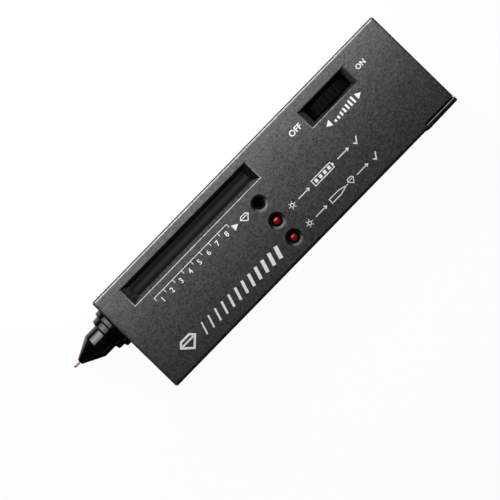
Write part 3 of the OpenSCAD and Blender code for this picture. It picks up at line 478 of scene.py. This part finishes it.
# Round lamps: two red lamps with domed epoxy lenses, each on a white tube that lifts it from the board
# into its port.
lamp_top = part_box("battery_lamp")[1].z
# The lenses are painted dark red at the foot as painted shade and bright red at the top as a painted glow.
lamp_painted_shade = (0.05, 0.001, 0.001)
lamp_painted_glow = (0.38, 0.005, 0.008)
lens_low = lamp_top - 2.0 * mm
lens_high = lamp_top - 0.05 * mm
red_epoxy = cast_resin("red_epoxy", lamp_painted_shade, lamp_painted_glow, roughness=0.10, low_z=lens_low, high_z=lens_high)
red_epoxy.node_tree.nodes["Principled BSDF"].inputs["Specular IOR Level"].default_value = 0.8
for node in ("battery_lamp", "ready_lamp"):
    recoat(node, red_epoxy)
nylon_white = (0.62, 0.62, 0.57)
white_nylon = grained_plastic("white_nylon", nylon_white, roughness=0.55, grain=0.5 * mm, depth=0.005 * mm)
recoat("lamp_spacers", white_nylon)

# Buzzer: a small round sounder in a black plastic can, soldered to the board. The hole in its lid lies
# under the open port.
can_black = (0.006, 0.006, 0.006)
buzzer_can = grained_plastic(
    "buzzer_can", can_black, roughness=0.4, grain=0.3 * mm, depth=0.004 * mm, ior=1.5, level=0.3
)
recoat("buzzer", buzzer_can)

# Driver chips: two blocks of black epoxy that count up the row of bar lamps. Their tinned legs stand in
# two rows and are soldered to the board.
chip_black = (0.012, 0.012, 0.013)
tinned = (0.62, 0.61, 0.58)
chip_half = 3.85 * mm
chip_body = 3.12 * mm
chip_edge = 0.01 * mm
chip_low, chip_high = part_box("driver_chips")
chip_skin, chip_tree, chip_shader, chip_place = new_finish("chip_epoxy")
chip_across = coordinate(chip_tree, chip_place, "Y")
chip_sides = []
for row_y in (chip_high.y - chip_half, chip_low.y + chip_half):
    away = chip_tree.nodes.new("ShaderNodeMath")
    away.operation = "SUBTRACT"
    chip_tree.links.new(chip_across, away.inputs[0])
    away.inputs[1].default_value = row_y
    side = chip_tree.nodes.new("ShaderNodeMath")
    side.operation = "ABSOLUTE"
    chip_tree.links.new(away.outputs[0], side.inputs[0])
    chip_sides.append(side.outputs[0])
nearer = combine(chip_tree, "MINIMUM", *chip_sides)
legs = spread(chip_tree, nearer, 0, 1, chip_body, chip_body + chip_edge)
chip_tint = tints(chip_tree, legs, [(0, chip_black), (1, tinned)])
chip_tree.links.new(chip_tint, chip_shader.inputs["Base Color"])
chip_tree.links.new(legs, chip_shader.inputs["Metallic"])
chip_grain = speckle(chip_tree, chip_place, 0.2 * mm)
chip_tree.links.new(spread(chip_tree, chip_grain, 0.38, 0.55), chip_shader.inputs["Roughness"])
pit(chip_tree, chip_shader, chip_grain, 0.003 * mm)
recoat("driver_chips", chip_skin)

# Capacitors: three aluminium cans in dark blue plastic sleeves that are shrunk on and leave the tops
# bare. They are soldered to the board.
sleeve_blue = (0.012, 0.020, 0.075)
bare_can = (0.62, 0.63, 0.64)
cap_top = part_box("capacitors")[1].z
sleeve_end = cap_top - 0.24 * mm
bare_from = cap_top - 0.16 * mm
cap_skin, cap_tree, cap_shader, cap_place = new_finish("capacitor_sleeve")
cap_height = coordinate(cap_tree, cap_place, "Z")
bare_top = spread(cap_tree, cap_height, 0, 1, sleeve_end, bare_from)
cap_tint = tints(cap_tree, bare_top, [(0, sleeve_blue), (1, bare_can)])
cap_tree.links.new(cap_tint, cap_shader.inputs["Base Color"])
cap_tree.links.new(bare_top, cap_shader.inputs["Metallic"])
cap_scuff = speckle(cap_tree, cap_place, 0.6 * mm)
cap_tree.links.new(spread(cap_tree, cap_scuff, 0.22, 0.40), cap_shader.inputs["Roughness"])
recoat("capacitors", cap_skin)

# Resistors: four ceramic rods in a tan lacquer with the usual painted value rings. Their bent tinned
# leads are soldered to the board.
ohm_low, ohm_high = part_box("resistors")
ohm_mid = (ohm_low.y + ohm_high.y) / 2
ohm_half = 2.2 * mm
lacquer = (0.56, 0.42, 0.24)
ring_brown = (0.13, 0.045, 0.02)
ring_black = (0.01, 0.01, 0.01)
ring_red = (0.45, 0.02, 0.015)
ring_gold = (0.42, 0.27, 0.06)
rings = [(0, tinned), (0.02, lacquer), (0.12, ring_brown), (0.22, lacquer), (0.36, ring_black),
         (0.45, lacquer), (0.55, ring_red), (0.64, lacquer), (0.80, ring_gold), (0.90, lacquer),
         (0.98, tinned)]
ohm_skin, ohm_tree, ohm_shader, ohm_place = new_finish("resistor_lacquer")
ohm_across = coordinate(ohm_tree, ohm_place, "Y")
ohm_along = spread(ohm_tree, ohm_across, 0, 1, ohm_mid - ohm_half, ohm_mid + ohm_half)
ohm_tint = tints(ohm_tree, ohm_along, rings)
ohm_tint.node.color_ramp.interpolation = "CONSTANT"
ohm_tree.links.new(ohm_tint, ohm_shader.inputs["Base Color"])
ohm_drip = speckle(ohm_tree, ohm_place, 0.5 * mm)
ohm_tree.links.new(spread(ohm_tree, ohm_drip, 0.25, 0.42), ohm_shader.inputs["Roughness"])
recoat("resistors", ohm_skin)

# Trimmer: a square moulding of blue plastic with a pale disc that a screwdriver turns when the scale is
# set. It is soldered to the board.
trimmer_blue = (0.025, 0.085, 0.32)
disc_white = (0.60, 0.59, 0.53)
trim_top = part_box("trimmer")[1].z
disc_low = trim_top - 0.62 * mm
disc_high = trim_top - 0.58 * mm
trim_skin, trim_tree, trim_shader, trim_place = new_finish("trimmer_plastic")
trim_height = coordinate(trim_tree, trim_place, "Z")
disc = spread(trim_tree, trim_height, 0, 1, disc_low, disc_high)
trim_tint = tints(trim_tree, disc, [(0, trimmer_blue), (1, disc_white)])
trim_tree.links.new(trim_tint, trim_shader.inputs["Base Color"])
trim_grain = speckle(trim_tree, trim_place, 0.25 * mm)
trim_tree.links.new(spread(trim_tree, trim_grain, 0.40, 0.58), trim_shader.inputs["Roughness"])
pit(trim_tree, trim_shader, trim_grain, 0.004 * mm)
recoat("trimmer", trim_skin)

# Volume control: a switched control in a folded steel can, soldered to the board. Its turned steel shaft
# carries the wheel.
recoat("volume_control", drawn_metal("control_can", (0.34, 0.35, 0.35), roughness=0.40, along="X"))
recoat("control_shaft", drawn_metal("turned_steel", (0.55, 0.55, 0.56), roughness=0.28, along="Y"))

# Thumbwheel: a ribbed wheel of dark matt plastic on the shaft of the control, held by a slotted screw.
# The rim stands in the pocket of the front cover.
wheel_black = (0.0038, 0.0038, 0.0038)
wheel_plastic = grained_plastic(
    "wheel_plastic", wheel_black, roughness=0.5, grain=0.3 * mm, depth=0.006 * mm, ior=1.4, level=0.085
)
recoat("thumbwheel", wheel_plastic)
recoat("wheel_screw", plated_steel)

# Probe nose: a turned nose of hard black plastic with two collars, a barrel and a cone. Its flange is
# held between the covers.
collar_x = spot(-4.9, 0).x
collar_blend = 0.2 * mm
collar_gloss = 0.55
turning_pitch = 1.6 * mm


def polished_black(name, colour, roughness, ior, level, start, end):
    """Turned black plastic with fine rings round the probe and faint wipe marks, glossiest on the barrel."""
    material, tree, skin, place = new_finish(name)
    skin.inputs["IOR"].default_value = ior
    haze = speckle(tree, place, 3 * mm, 5)
    shade = tints(tree, haze, [(0.3, shade_of(colour, 0.7)), (0.7, shade_of(colour, 1.3))])
    tree.links.new(shade, skin.inputs["Base Color"])
    tree.links.new(spread(tree, haze, roughness * 0.85, roughness * 1.2), skin.inputs["Roughness"])
    slant = edge_view(tree)
    gloss = spread(tree, slant, level, 0, start, end)
    flank = coordinate(tree, place.node.outputs["Normal"], "Y")
    window_side = spread(tree, flank, 0, 1, 0.3, 0.5)
    rim = combine(tree, "MULTIPLY", window_side, spread(tree, slant, 0, 0.6 * level, 0.36, 0.46))
    reach = coordinate(tree, place, "X")
    collars = spread(tree, reach, 1, collar_gloss, collar_x - collar_blend, collar_x + collar_blend)
    buffed = combine(tree, "MULTIPLY", combine(tree, "ADD", gloss, rim), collars)
    tree.links.new(buffed, skin.inputs["Specular IOR Level"])
    turning = tree.nodes.new("ShaderNodeTexWave")
    turning.bands_direction = "X"
    turning.inputs["Scale"].default_value = 1 / turning_pitch
    turning.inputs["Distortion"].default_value = 0.6
    tree.links.new(place, turning.inputs["Vector"])
    pit(tree, skin, turning.outputs["Fac"], 0.0004 * mm)
    return material


jet = (0.0014, 0.0014, 0.0014)
nose_black = polished_black("nose_black", jet, roughness=0.12, ior=1.8, level=0.44, start=0.2, end=0.32)
recoat("probe_nose", nose_black)

# Spring, plug and carrier: the turned brass carrier slides in the bore of the nose, pushed out by a coiled
# steel spring that the plug holds from behind. The spring shortens when the point is pressed in.
recoat("spring_plug", drawn_metal("plug_steel", (0.30, 0.30, 0.31), roughness=0.36, along="X"))
spring_wire = drawn_metal("spring_wire", (0.50, 0.50, 0.51), roughness=0.26, along="Z")
coil_turn = math.radians(40)
spring_coil = copy_of("probe_spring", "probe_spring_coil")
bpy.ops.object.mode_set(mode="OBJECT")
bpy.ops.object.shade_smooth_by_angle(angle=coil_turn)
dress(spring_coil, spring_wire, "case", "probe_spring")
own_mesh(spring_coil)
recoat("tip_carrier", drawn_metal("turned_brass", (0.62, 0.44, 0.18), roughness=0.28, along="Y"))

# Probe tip: a short copper needle, ground to a blunt point, with a heater bead behind its head and two
# thin white leads to the board.
recoat("probe_tip", drawn_metal("drawn_copper", (0.46, 0.29, 0.20), roughness=0.26, along="X"))
ceramic_cream = (0.60, 0.56, 0.46)
heater_ceramic = grained_plastic(
    "heater_ceramic", ceramic_cream, roughness=0.7, grain=0.15 * mm, depth=0.006 * mm
)
recoat("tip_heater", heater_ceramic)


def lead_skin(name, colour):
    """Soft extruded cover of a lead, with a faint waxy unevenness."""
    material, tree, skin, place = new_finish(name)
    skin.inputs["Specular IOR Level"].default_value = 0.4
    wax = speckle(tree, place, 0.8 * mm)
    shade = tints(tree, wax, [(0.3, shade_of(colour, 0.8)), (0.7, shade_of(colour, 1.15))])
    tree.links.new(shade, skin.inputs["Base Color"])
    tree.links.new(spread(tree, wax, 0.38, 0.58), skin.inputs["Roughness"])
    pit(tree, skin, wax, 0.004 * mm)
    return material


recoat("probe_leads", lead_skin("white_cover", (0.70, 0.68, 0.64)))

# Battery: a 9 V block in a plain grey steel jacket that is crimped over at both ends, with plated
# terminals. It lies loose in its bay behind the door.
battery_low, battery_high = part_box("battery")
jacket_skin, jacket_tree, jacket_shader, jacket_place = new_finish("battery_jacket")
jacket_reach = coordinate(jacket_tree, jacket_place, "X")
jacket_along = spread(jacket_tree, jacket_reach, 0, 1, battery_low.x, battery_high.x)
bare_steel = (0.46, 0.46, 0.47)
jacket_grey = (0.105, 0.110, 0.120)
jacket_bands = [(0, bare_steel), (0.03, jacket_grey), (0.97, jacket_grey), (0.98, bare_steel)]
jacket_tint = tints(jacket_tree, jacket_along, jacket_bands)
jacket_tint.node.color_ramp.interpolation = "CONSTANT"
jacket_tree.links.new(jacket_tint, jacket_shader.inputs["Base Color"])
jacket_shader.inputs["Metallic"].default_value = 0.8
jacket_roll = jacket_tree.nodes.new("ShaderNodeMapping")
jacket_roll.inputs["Scale"].default_value = (0.05, 1, 1)
jacket_tree.links.new(jacket_place, jacket_roll.inputs["Vector"])
jacket_marks = speckle(jacket_tree, jacket_roll.outputs["Vector"], 0.3 * mm)
jacket_tree.links.new(spread(jacket_tree, jacket_marks, 0.30, 0.44), jacket_shader.inputs["Roughness"])
pit(jacket_tree, jacket_shader, jacket_marks, 0.002 * mm)
recoat("battery", jacket_skin)
recoat("battery_terminals", plated_steel)

# Battery snap: a soft black moulding with two contacts that press on the terminals, and a red and a
# black lead to the board.
vinyl_black = (0.016, 0.016, 0.017)
snap_vinyl = grained_plastic("snap_vinyl", vinyl_black, roughness=0.55, grain=0.6 * mm, depth=0.010 * mm)
recoat("battery_snap", snap_vinyl)
recoat("snap_lead_red", lead_skin("red_cover", (0.42, 0.016, 0.014)))
recoat("snap_lead_black", lead_skin("black_cover", (0.014, 0.014, 0.014)))

# Battery door: a sliding panel of the case plastic with finger grooves and a grip skirt at one corner.
# Its rails run in the rear cover.
door_low, door_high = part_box("battery_door")
groove_depth = 0.6 * mm
lip_gap = 0.01 * mm


def on_door(edge):
    """True for the edges of the outer face, with its grooves, and of the lip."""
    low = all(v.co.z < door_low.z + groove_depth for v in edge.verts)
    lip = all(v.co.z > door_high.z - lip_gap for v in edge.verts)
    return low or lip


rubbed_plastic = grained_plastic(
    "rubbed_plastic", case_black, roughness=0.24, grain=case_grain, depth=0.02 * mm,
    ior=case_ior, level=1.0, start=0.14, end=0.28
)
rim_length = 4 * mm


def finish_facets(piece, material, picked):
    """Puts a finish of its own on the facets of a piece that a test picks."""
    piece.data.materials.append(material)
    for facet in piece.data.polygons:
        if picked(facet):
            facet.material_index = len(piece.data.materials) - 1


def rub_rims(piece, lowest):
    """Gives the rounded long edges above a height the smoother finish that hands leave there."""

    def on_rim(facet):
        ends = [piece.data.vertices[k].co.x for k in facet.vertices]
        along = abs(facet.normal.y) > abs(facet.normal.x) and max(ends) - min(ends) > rim_length
        return along and facet.center.z > lowest and 0.3 < facet.normal.z < 0.995

    finish_facets(piece, rubbed_plastic, on_rim)


door_radius = 0.1 * mm
lip_rim = 0.8 * mm
door_moulding = moulding("battery_door", door_radius, on_door)
dress(door_moulding, case_plastic, "door", "battery_door")
rub_rims(door_moulding, door_high.z - lip_rim)

# Front cover: the front half of the case in the same plastic, with the window recess, the wheel pocket,
# three ports and the notch for the grip skirt. The small radius on each rim catches the light.
port_middles = []
for node in ("buzzer", "battery_lamp", "ready_lamp"):
    port_low, port_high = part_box(node)
    port_middles.append((port_low + port_high) / 2)
port_bore = 2.08 * mm
port_mouth = 2.985 * mm
port_slope = 0.42
mouth_depth = 1 * mm
mouth_gap = 0.02 * mm


def countersink(shape):
    """Settles the points in the mouth of each port on a shallow cone with a crisp rim."""
    for middle in port_middles:
        mouth = set()
        for point in shape.verts:
            away = (point.co - middle).to_2d().length
            if port_bore < away < port_mouth and point.co.z > face_z - mouth_depth:
                point.co.z = face_z - port_slope * (port_mouth - away)
                if away > port_mouth - mouth_gap:
                    mouth.add(point)
        for edge in shape.edges:
            if mouth.issuperset(edge.verts):
                edge.smooth = False


face_radius = 0.32 * mm
face_rim = 0.75 * mm
front_moulding = moulding("front_cover", face_radius, at_height(face_z), countersink)
dress(front_moulding, case_plastic, "case", "front_cover")
pane_low, pane_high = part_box("display_window")
wheel_low, wheel_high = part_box("thumbwheel")
recess_corner = spot(3, 3)
recess_end = spot(119, 13)
cover_depth = 8 * mm
port_depth = 3 * mm
window_margin = 4 * mm
pocket_margin = 8 * mm
upright_z = 0.05
level_z = 0.95


def in_recess(wall):
    """True for the walls along the window and the wheel, but for those that face the window side."""
    along = recess_corner.x < wall.center.x < recess_end.x
    across = recess_corner.y > wall.center.y > recess_end.y
    below = face_z - 0.2 * mm > wall.center.z > face_z - cover_depth
    return below and along and across and wall.normal.y < 0.5


def in_port(wall):
    """True for the cone and the bore of a port."""
    within = any((wall.center - middle).to_2d().length < port_mouth for middle in port_middles)
    return within and wall.center.z > face_z - port_depth and wall.normal.z < 0.9995


def lies_in(wall, low, high, margin):
    """True where a wall below the face lies within the box of a piece and a margin round it."""
    along = low.x - margin < wall.center.x < high.x + margin
    across = low.y - margin < wall.center.y < high.y + margin
    return along and across and face_z - 0.03 * mm > wall.center.z > face_z - cover_depth


def in_window(wall):
    """True for the slopes round the window."""
    return lies_in(wall, pane_low, pane_high, window_margin) and upright_z < wall.normal.z < level_z


def in_pocket(wall):
    """True for the scoop and the slopes round the wheel."""
    return lies_in(wall, wheel_low, wheel_high, pocket_margin) and wall.normal.z > upright_z


# Recess walls that face away from the window side, and so from the light, get a darker black: painted shade
# in the recess.
recess_painted_shade = (0.011, 0.011, 0.012)
recess_painted_shade_plastic = grained_plastic(
    "recess_painted_shade_plastic", recess_painted_shade, roughness=0.16, grain=0.6 * mm, depth=0.002 * mm
)
finish_facets(front_moulding, recess_painted_shade_plastic, in_recess)
# The cone and bore of each port get a near-black colour: painted shade in the port.
port_painted_shade = (0.003, 0.003, 0.003)
port_painted_shade_plastic = grained_plastic(
    "port_painted_shade_plastic", port_painted_shade, roughness=0.28, grain=0.6 * mm, depth=0.002 * mm,
    ior=case_ior, level=0.42, start=0.04, end=0.2
)
finish_facets(front_moulding, port_painted_shade_plastic, in_port)


def wall_plastic(name, colour, ior=case_ior, level=case_gloss):
    """Case plastic with a flatter grain, in a colour that paints the light or shade on the walls round the
    window and the wheel.
    """
    return grained_plastic(
        name, colour, roughness=0.5, grain=case_grain, depth=0.01 * mm, ior=ior, level=level
    )


# Window slopes that face the window side, towards the light, are painted a lighter grey: painted light.
painted_lit_slope = wall_plastic("painted_lit_slope", (0.042, 0.042, 0.043))
# Far end walls of the window, which face away from the light, are painted near black: painted shade.
shaded_plastic = wall_plastic("shaded_plastic", (0.003, 0.003, 0.003), ior=1.4, level=0.1)
# The off end wall of the pocket is painted a lighter grey: painted light.
painted_lit_pocket_wall = wall_plastic("painted_lit_pocket_wall", (0.032, 0.032, 0.033))
scoop_plastic = grained_plastic(
    "scoop_plastic", case_black, roughness=0.45, grain=case_grain, depth=0.02 * mm,
    ior=case_ior, level=0.6, start=0.0, end=0.05
)
finish_facets(front_moulding, painted_lit_slope, lambda wall: in_window(wall) and wall.normal.y > 0.5)
finish_facets(front_moulding, shaded_plastic, lambda wall: in_window(wall) and wall.normal.x < -0.5)
finish_facets(
    front_moulding, painted_lit_pocket_wall,
    lambda wall: in_pocket(wall) and wall.normal.x > 0.4 and wall.normal.z < level_z
)
finish_facets(front_moulding, scoop_plastic, lambda wall: in_pocket(wall) and wall.normal.x < -0.05)
rub_rims(front_moulding, face_z - face_rim)

# Display window: a pane of smoked acrylic, pressed into the recess from inside. Its colour has a painted
# paler stripe along the middle that stands in for the row of bar lamps seen through the smoke.
stripe_y = (pane_low.y + pane_high.y) / 2 - 0.2 * mm
stripe_half = 1.6 * mm
pane_skin, pane_tree, pane_shader, pane_place = new_finish("smoked_acrylic")
pane_y = coordinate(pane_tree, pane_place, "Y")
pane_across = spread(pane_tree, pane_y, 0, 1, stripe_y - stripe_half, stripe_y + stripe_half)
smoke = (0.0106, 0.0102, 0.0106)
# Painted paler stripe where the bar lamps would show through the pane.
painted_stripe = shade_of(smoke, 2.6)
pane_tint = tints(pane_tree, pane_across, [(0.15, smoke), (0.42, painted_stripe), (0.58, painted_stripe), (0.85, smoke)])
pane_tree.links.new(pane_tint, pane_shader.inputs["Base Color"])
pane_wipe = speckle(pane_tree, pane_place, 4 * mm, 5)
pane_tree.links.new(spread(pane_tree, pane_wipe, 0.04, 0.08), pane_shader.inputs["Roughness"])
pane_gloss = spread(pane_tree, edge_view(pane_tree), 0.06, 0, 0.3, 0.6)
pane_tree.links.new(pane_gloss, pane_shader.inputs["Specular IOR Level"])
recoat("display_window", pane_skin)

# Scale marks: a printed line with nine ticks and the numbers 1 to 8 beside the window, then an arrow and
# a gem sign at its end. White ink, printed on the front cover.
ink_depth = 0.035 * mm
ink_sunk = 0.005 * mm
ink_marks = []
ink, ink_tree, ink_shader, ink_place = new_finish("white_ink")
ink_cover = speckle(ink_tree, ink_place, 0.35 * mm)
ink_thin = (0.78, 0.78, 0.78)
ink_full = (0.90, 0.90, 0.89)
ink_tint = tints(ink_tree, ink_cover, [(0.25, ink_thin), (0.6, ink_full)])
ink_tree.links.new(ink_tint, ink_shader.inputs["Base Color"])
ink_tree.links.new(spread(ink_tree, ink_cover, 0.45, 0.65), ink_shader.inputs["Roughness"])
ink_shader.inputs["Specular IOR Level"].default_value = 0.3
pit(ink_tree, ink_shader, ink_cover, 0.004 * mm)


def raise_ink(mark):
    """Gives a flat mark the thickness of the ink, with its foot just in the face."""
    bpy.ops.mesh.select_all(action="SELECT")
    bpy.ops.mesh.remove_doubles(threshold=0.001 * mm)
    bpy.ops.mesh.select_all(action="SELECT")
    bpy.ops.mesh.extrude_region_move(TRANSFORM_OT_translate={"value": (0, 0, ink_depth)})
    bpy.ops.mesh.select_all(action="SELECT")
    bpy.ops.mesh.normals_make_consistent(inside=False)
    bpy.ops.object.mode_set(mode="OBJECT")
    ink_marks.append(mark)


def ink_line(points, width, closed=False):
    """Printed line through (s, t) points, with mitred corners."""
    path = [Vector((s, -t)) for s, t in points]
    if closed:
        path = path + path[:1]
    sides = []
    for i, here in enumerate(path):
        before = path[i - 1] if i else (path[-2] if closed else None)
        after = path[i + 1] if i + 1 < len(path) else (path[1] if closed else None)
        ways = [(b - a).normalized() for a, b in ((before, here), (here, after)) if a and b]
        normals = [Vector((-way.y, way.x)) for way in ways]
        lean = sum(normals, Vector((0, 0))).normalized()
        sides.append(lean * (width / 2 / max(lean.dot(normals[0]), 0.3)))
    bpy.ops.object.select_all(action="DESELECT")
    bpy.ops.mesh.primitive_grid_add(x_subdivisions=len(path) - 1, y_subdivisions=1, size=1)
    mark = bpy.context.active_object
    bpy.ops.object.mode_set(mode="EDIT")
    strip = bmesh.from_edit_mesh(mark.data)
    rows = sorted(strip.verts, key=lambda v: (v.co.y, v.co.x))
    for i, here in enumerate(path):
        for vert, edge in ((rows[i], here - sides[i]), (rows[len(path) + i], here + sides[i])):
            vert.co = spot(edge.x, -edge.y, face_z - ink_sunk)
    bmesh.update_edit_mesh(mark.data)
    raise_ink(mark)


def ink_patch(points):
    """Printed solid shape with (s, t) corners."""
    bpy.ops.object.select_all(action="DESELECT")
    bpy.ops.mesh.primitive_circle_add(vertices=len(points), fill_type="NGON", radius=1)
    mark = bpy.context.active_object
    bpy.ops.object.mode_set(mode="EDIT")
    shape = bmesh.from_edit_mesh(mark.data)
    shape.verts.ensure_lookup_table()
    for vert, (s, t) in zip(shape.verts, points):
        vert.co = spot(s, t, face_z - ink_sunk)
    bmesh.update_edit_mesh(mark.data)
    raise_ink(mark)


def ink_figure(figure, s, t, height, weight):
    """Printed figure or plain switch word, centred on a spot."""
    bpy.ops.object.select_all(action="DESELECT")
    bpy.ops.object.text_add()
    mark = bpy.context.active_object
    mark.data.body = figure
    mark.data.resolution_u = 3
    mark.data.extrude = 0.01
    mark.data.offset = weight
    bpy.ops.object.convert(target="MESH")
    low = Vector([min(corner[i] for corner in mark.bound_box) for i in range(3)])
    high = Vector([max(corner[i] for corner in mark.bound_box) for i in range(3)])
    grow = height * mm / (high.y - low.y)
    mark.scale = (grow, grow, ink_depth / (high.z - low.z))
    middle = (low + high) / 2
    mark.location = spot(s, t, face_z - ink_sunk + ink_depth / 2) - middle * grow
    bpy.ops.object.transform_apply(location=True, rotation=True, scale=True)
    ink_marks.append(mark)


def print_marks(name):
    """Joins the marks made so far to one print on the front cover."""
    bpy.ops.object.select_all(action="DESELECT")
    for mark in ink_marks:
        mark.select_set(True)
    bpy.context.view_layer.objects.active = ink_marks[0]
    bpy.ops.object.join()
    piece = bpy.context.active_object
    piece.name = name
    piece.data.materials.clear()
    piece.data.materials.append(ink)
    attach(piece, "case")
    ink_marks.clear()


def ink_gem(s, t, width, height, line):
    """Outline of a cut stone seen from the side, with its girdle."""
    table, girdle = 0.30 * width, 0.5 * width
    top, waist, foot = t - height / 2, t - height * 0.18, t + height / 2
    outline = [(s - table, top), (s + table, top), (s + girdle, waist), (s, foot), (s - girdle, waist)]
    ink_line(outline, line, True)
    ink_line([(s - girdle + line, waist), (s + girdle - line, waist)], line * 0.8)


scale_t = 13.9
scale_line = 0.21
scale_s0 = 16.0
tick_pitch = 4.3
tick_length = 1.4
scale_s1 = scale_s0 + 8 * tick_pitch
ink_line([(scale_s0 - scale_line / 2, scale_t), (scale_s1 + scale_line / 2, scale_t)], scale_line)
for k in range(9):
    tick_s = scale_s0 + k * tick_pitch
    ink_line([(tick_s, scale_t + scale_line / 2), (tick_s, scale_t + tick_length)], scale_line)
figure_s0 = 17.9
figure_pitch = 4.33
for k in range(8):
    ink_figure(str(k + 1), figure_s0 + k * figure_pitch, 16.2, height=1.9, weight=0.008)
ink_patch([(51.1, 15.33), (51.1, 17.66), (53.3, 16.5)])
ink_gem(56.4, 16.9, 3.6, 2.5, 0.3)
print_marks("scale_marks")

# Switch marks: OFF and ON at the two ends of the wheel pocket, and between two arrows a row of rising
# bars for the level. Printed in the same ink.
ink_figure("OFF", 88.9, 8.4, height=2.15, weight=0.014)
ink_figure("ON", 119.7, 8.6, height=1.85, weight=0.014)
level_t = 16.35
level_pitch = 1.5
level_bar = 0.75
ink_patch([(96.9, 15.1), (99.0, 13.9), (99.0, 16.3)])
ink_patch([(113.2, 15.2), (111.1, 16.4), (111.1, 14.0)])
for k in range(7):
    bar_s = 100.6 + k * level_pitch
    ink_line([(bar_s, level_t), (bar_s, level_t - 0.9 - k * 0.28)], level_bar)
print_marks("switch_marks")

# Lamp signs: beside each round lamp a row of line signs says what it shows: a lamp that shines, an arrow,
# a charged battery or a warm probe on a stone, and a tick. Printed in the same ink.
sign_line = 0.32
sign_fine = 0.26
arrow_length = 5.4
lamp_radius = 0.62


def ink_lamp(s, t):
    """Lamp sign: a round lamp with six rays."""
    ways = [Vector((math.cos(a * math.pi / 6), math.sin(a * math.pi / 6))) for a in range(12)]
    ink_line([(s + lamp_radius * way.x, t + lamp_radius * way.y) for way in ways], sign_line, True)
    for ray in ways[::2]:
        ink_line([(s + ray.x * r, t + ray.y * r) for r in (0.98, 1.42)], sign_fine)


def ink_arrow(s, t, length):
    """Arrow sign that points along the case."""
    ink_line([(s, t), (s + length - 0.9, t)], sign_line)
    ink_patch([(s + length - 1.1, t - 0.75), (s + length - 1.1, t + 0.75), (s + length, t)])


def ink_tick(s, t):
    """Tick sign."""
    ink_line([(s - 1.1, t + 0.1), (s - 0.35, t + 1.0), (s + 1.2, t - 1.1)], 0.42)


battery_sign_t = 25.2
ink_lamp(70.3, battery_sign_t)
ink_arrow(73.2, battery_sign_t, arrow_length)
ink_line([(80.4, 24.1), (89.2, 24.1), (89.2, 26.3), (80.4, 26.3)], sign_line, True)
ink_line([(89.6, 24.8), (89.6, 25.6)], 0.5)
for k in range(4):
    cell_s = 81.8 + k * 2.0
    ink_line([(cell_s, 24.6), (cell_s, 25.8)], 1.15)
ink_arrow(91.8, battery_sign_t, arrow_length)
ink_tick(100.4, battery_sign_t)
ready_sign_t = 33.5
ink_lamp(70.1, ready_sign_t)
ink_arrow(73.0, ready_sign_t, arrow_length)
probe_upper = [(80.2, 32.7), (84.4, 32.7), (87.0, 33.35)]
probe_lower = [(87.0, 33.65), (84.4, 34.3), (80.2, 34.3)]
ink_line(probe_upper + probe_lower, sign_line, True)
ink_line([(87.2, ready_sign_t), (88.4, ready_sign_t)], sign_fine)
ink_gem(90.0, ready_sign_t, 2.6, 2.3, 0.28)
ink_arrow(92.6, ready_sign_t, arrow_length)
ink_tick(101.2, ready_sign_t)
print_marks("lamp_signs")

# Front design: a cut stone in outline and a run of slanted bars that grow from thin to bold, printed along
# the inner edge of the face.
design_t = 32.8
slant_pitch = 3.2
slant_half = 2.15
slant_lean = 0.7
ink_gem(13.6, design_t, 6.6, 4.5, 0.75)
for k in range(12):
    slant_s = 20.6 + k * slant_pitch
    slant_foot = (slant_s - slant_lean, design_t + slant_half)
    slant_head = (slant_s + slant_lean, design_t - slant_half)
    ink_line([slant_foot, slant_head], 0.5 + 0.085 * k)
print_marks("front_design")
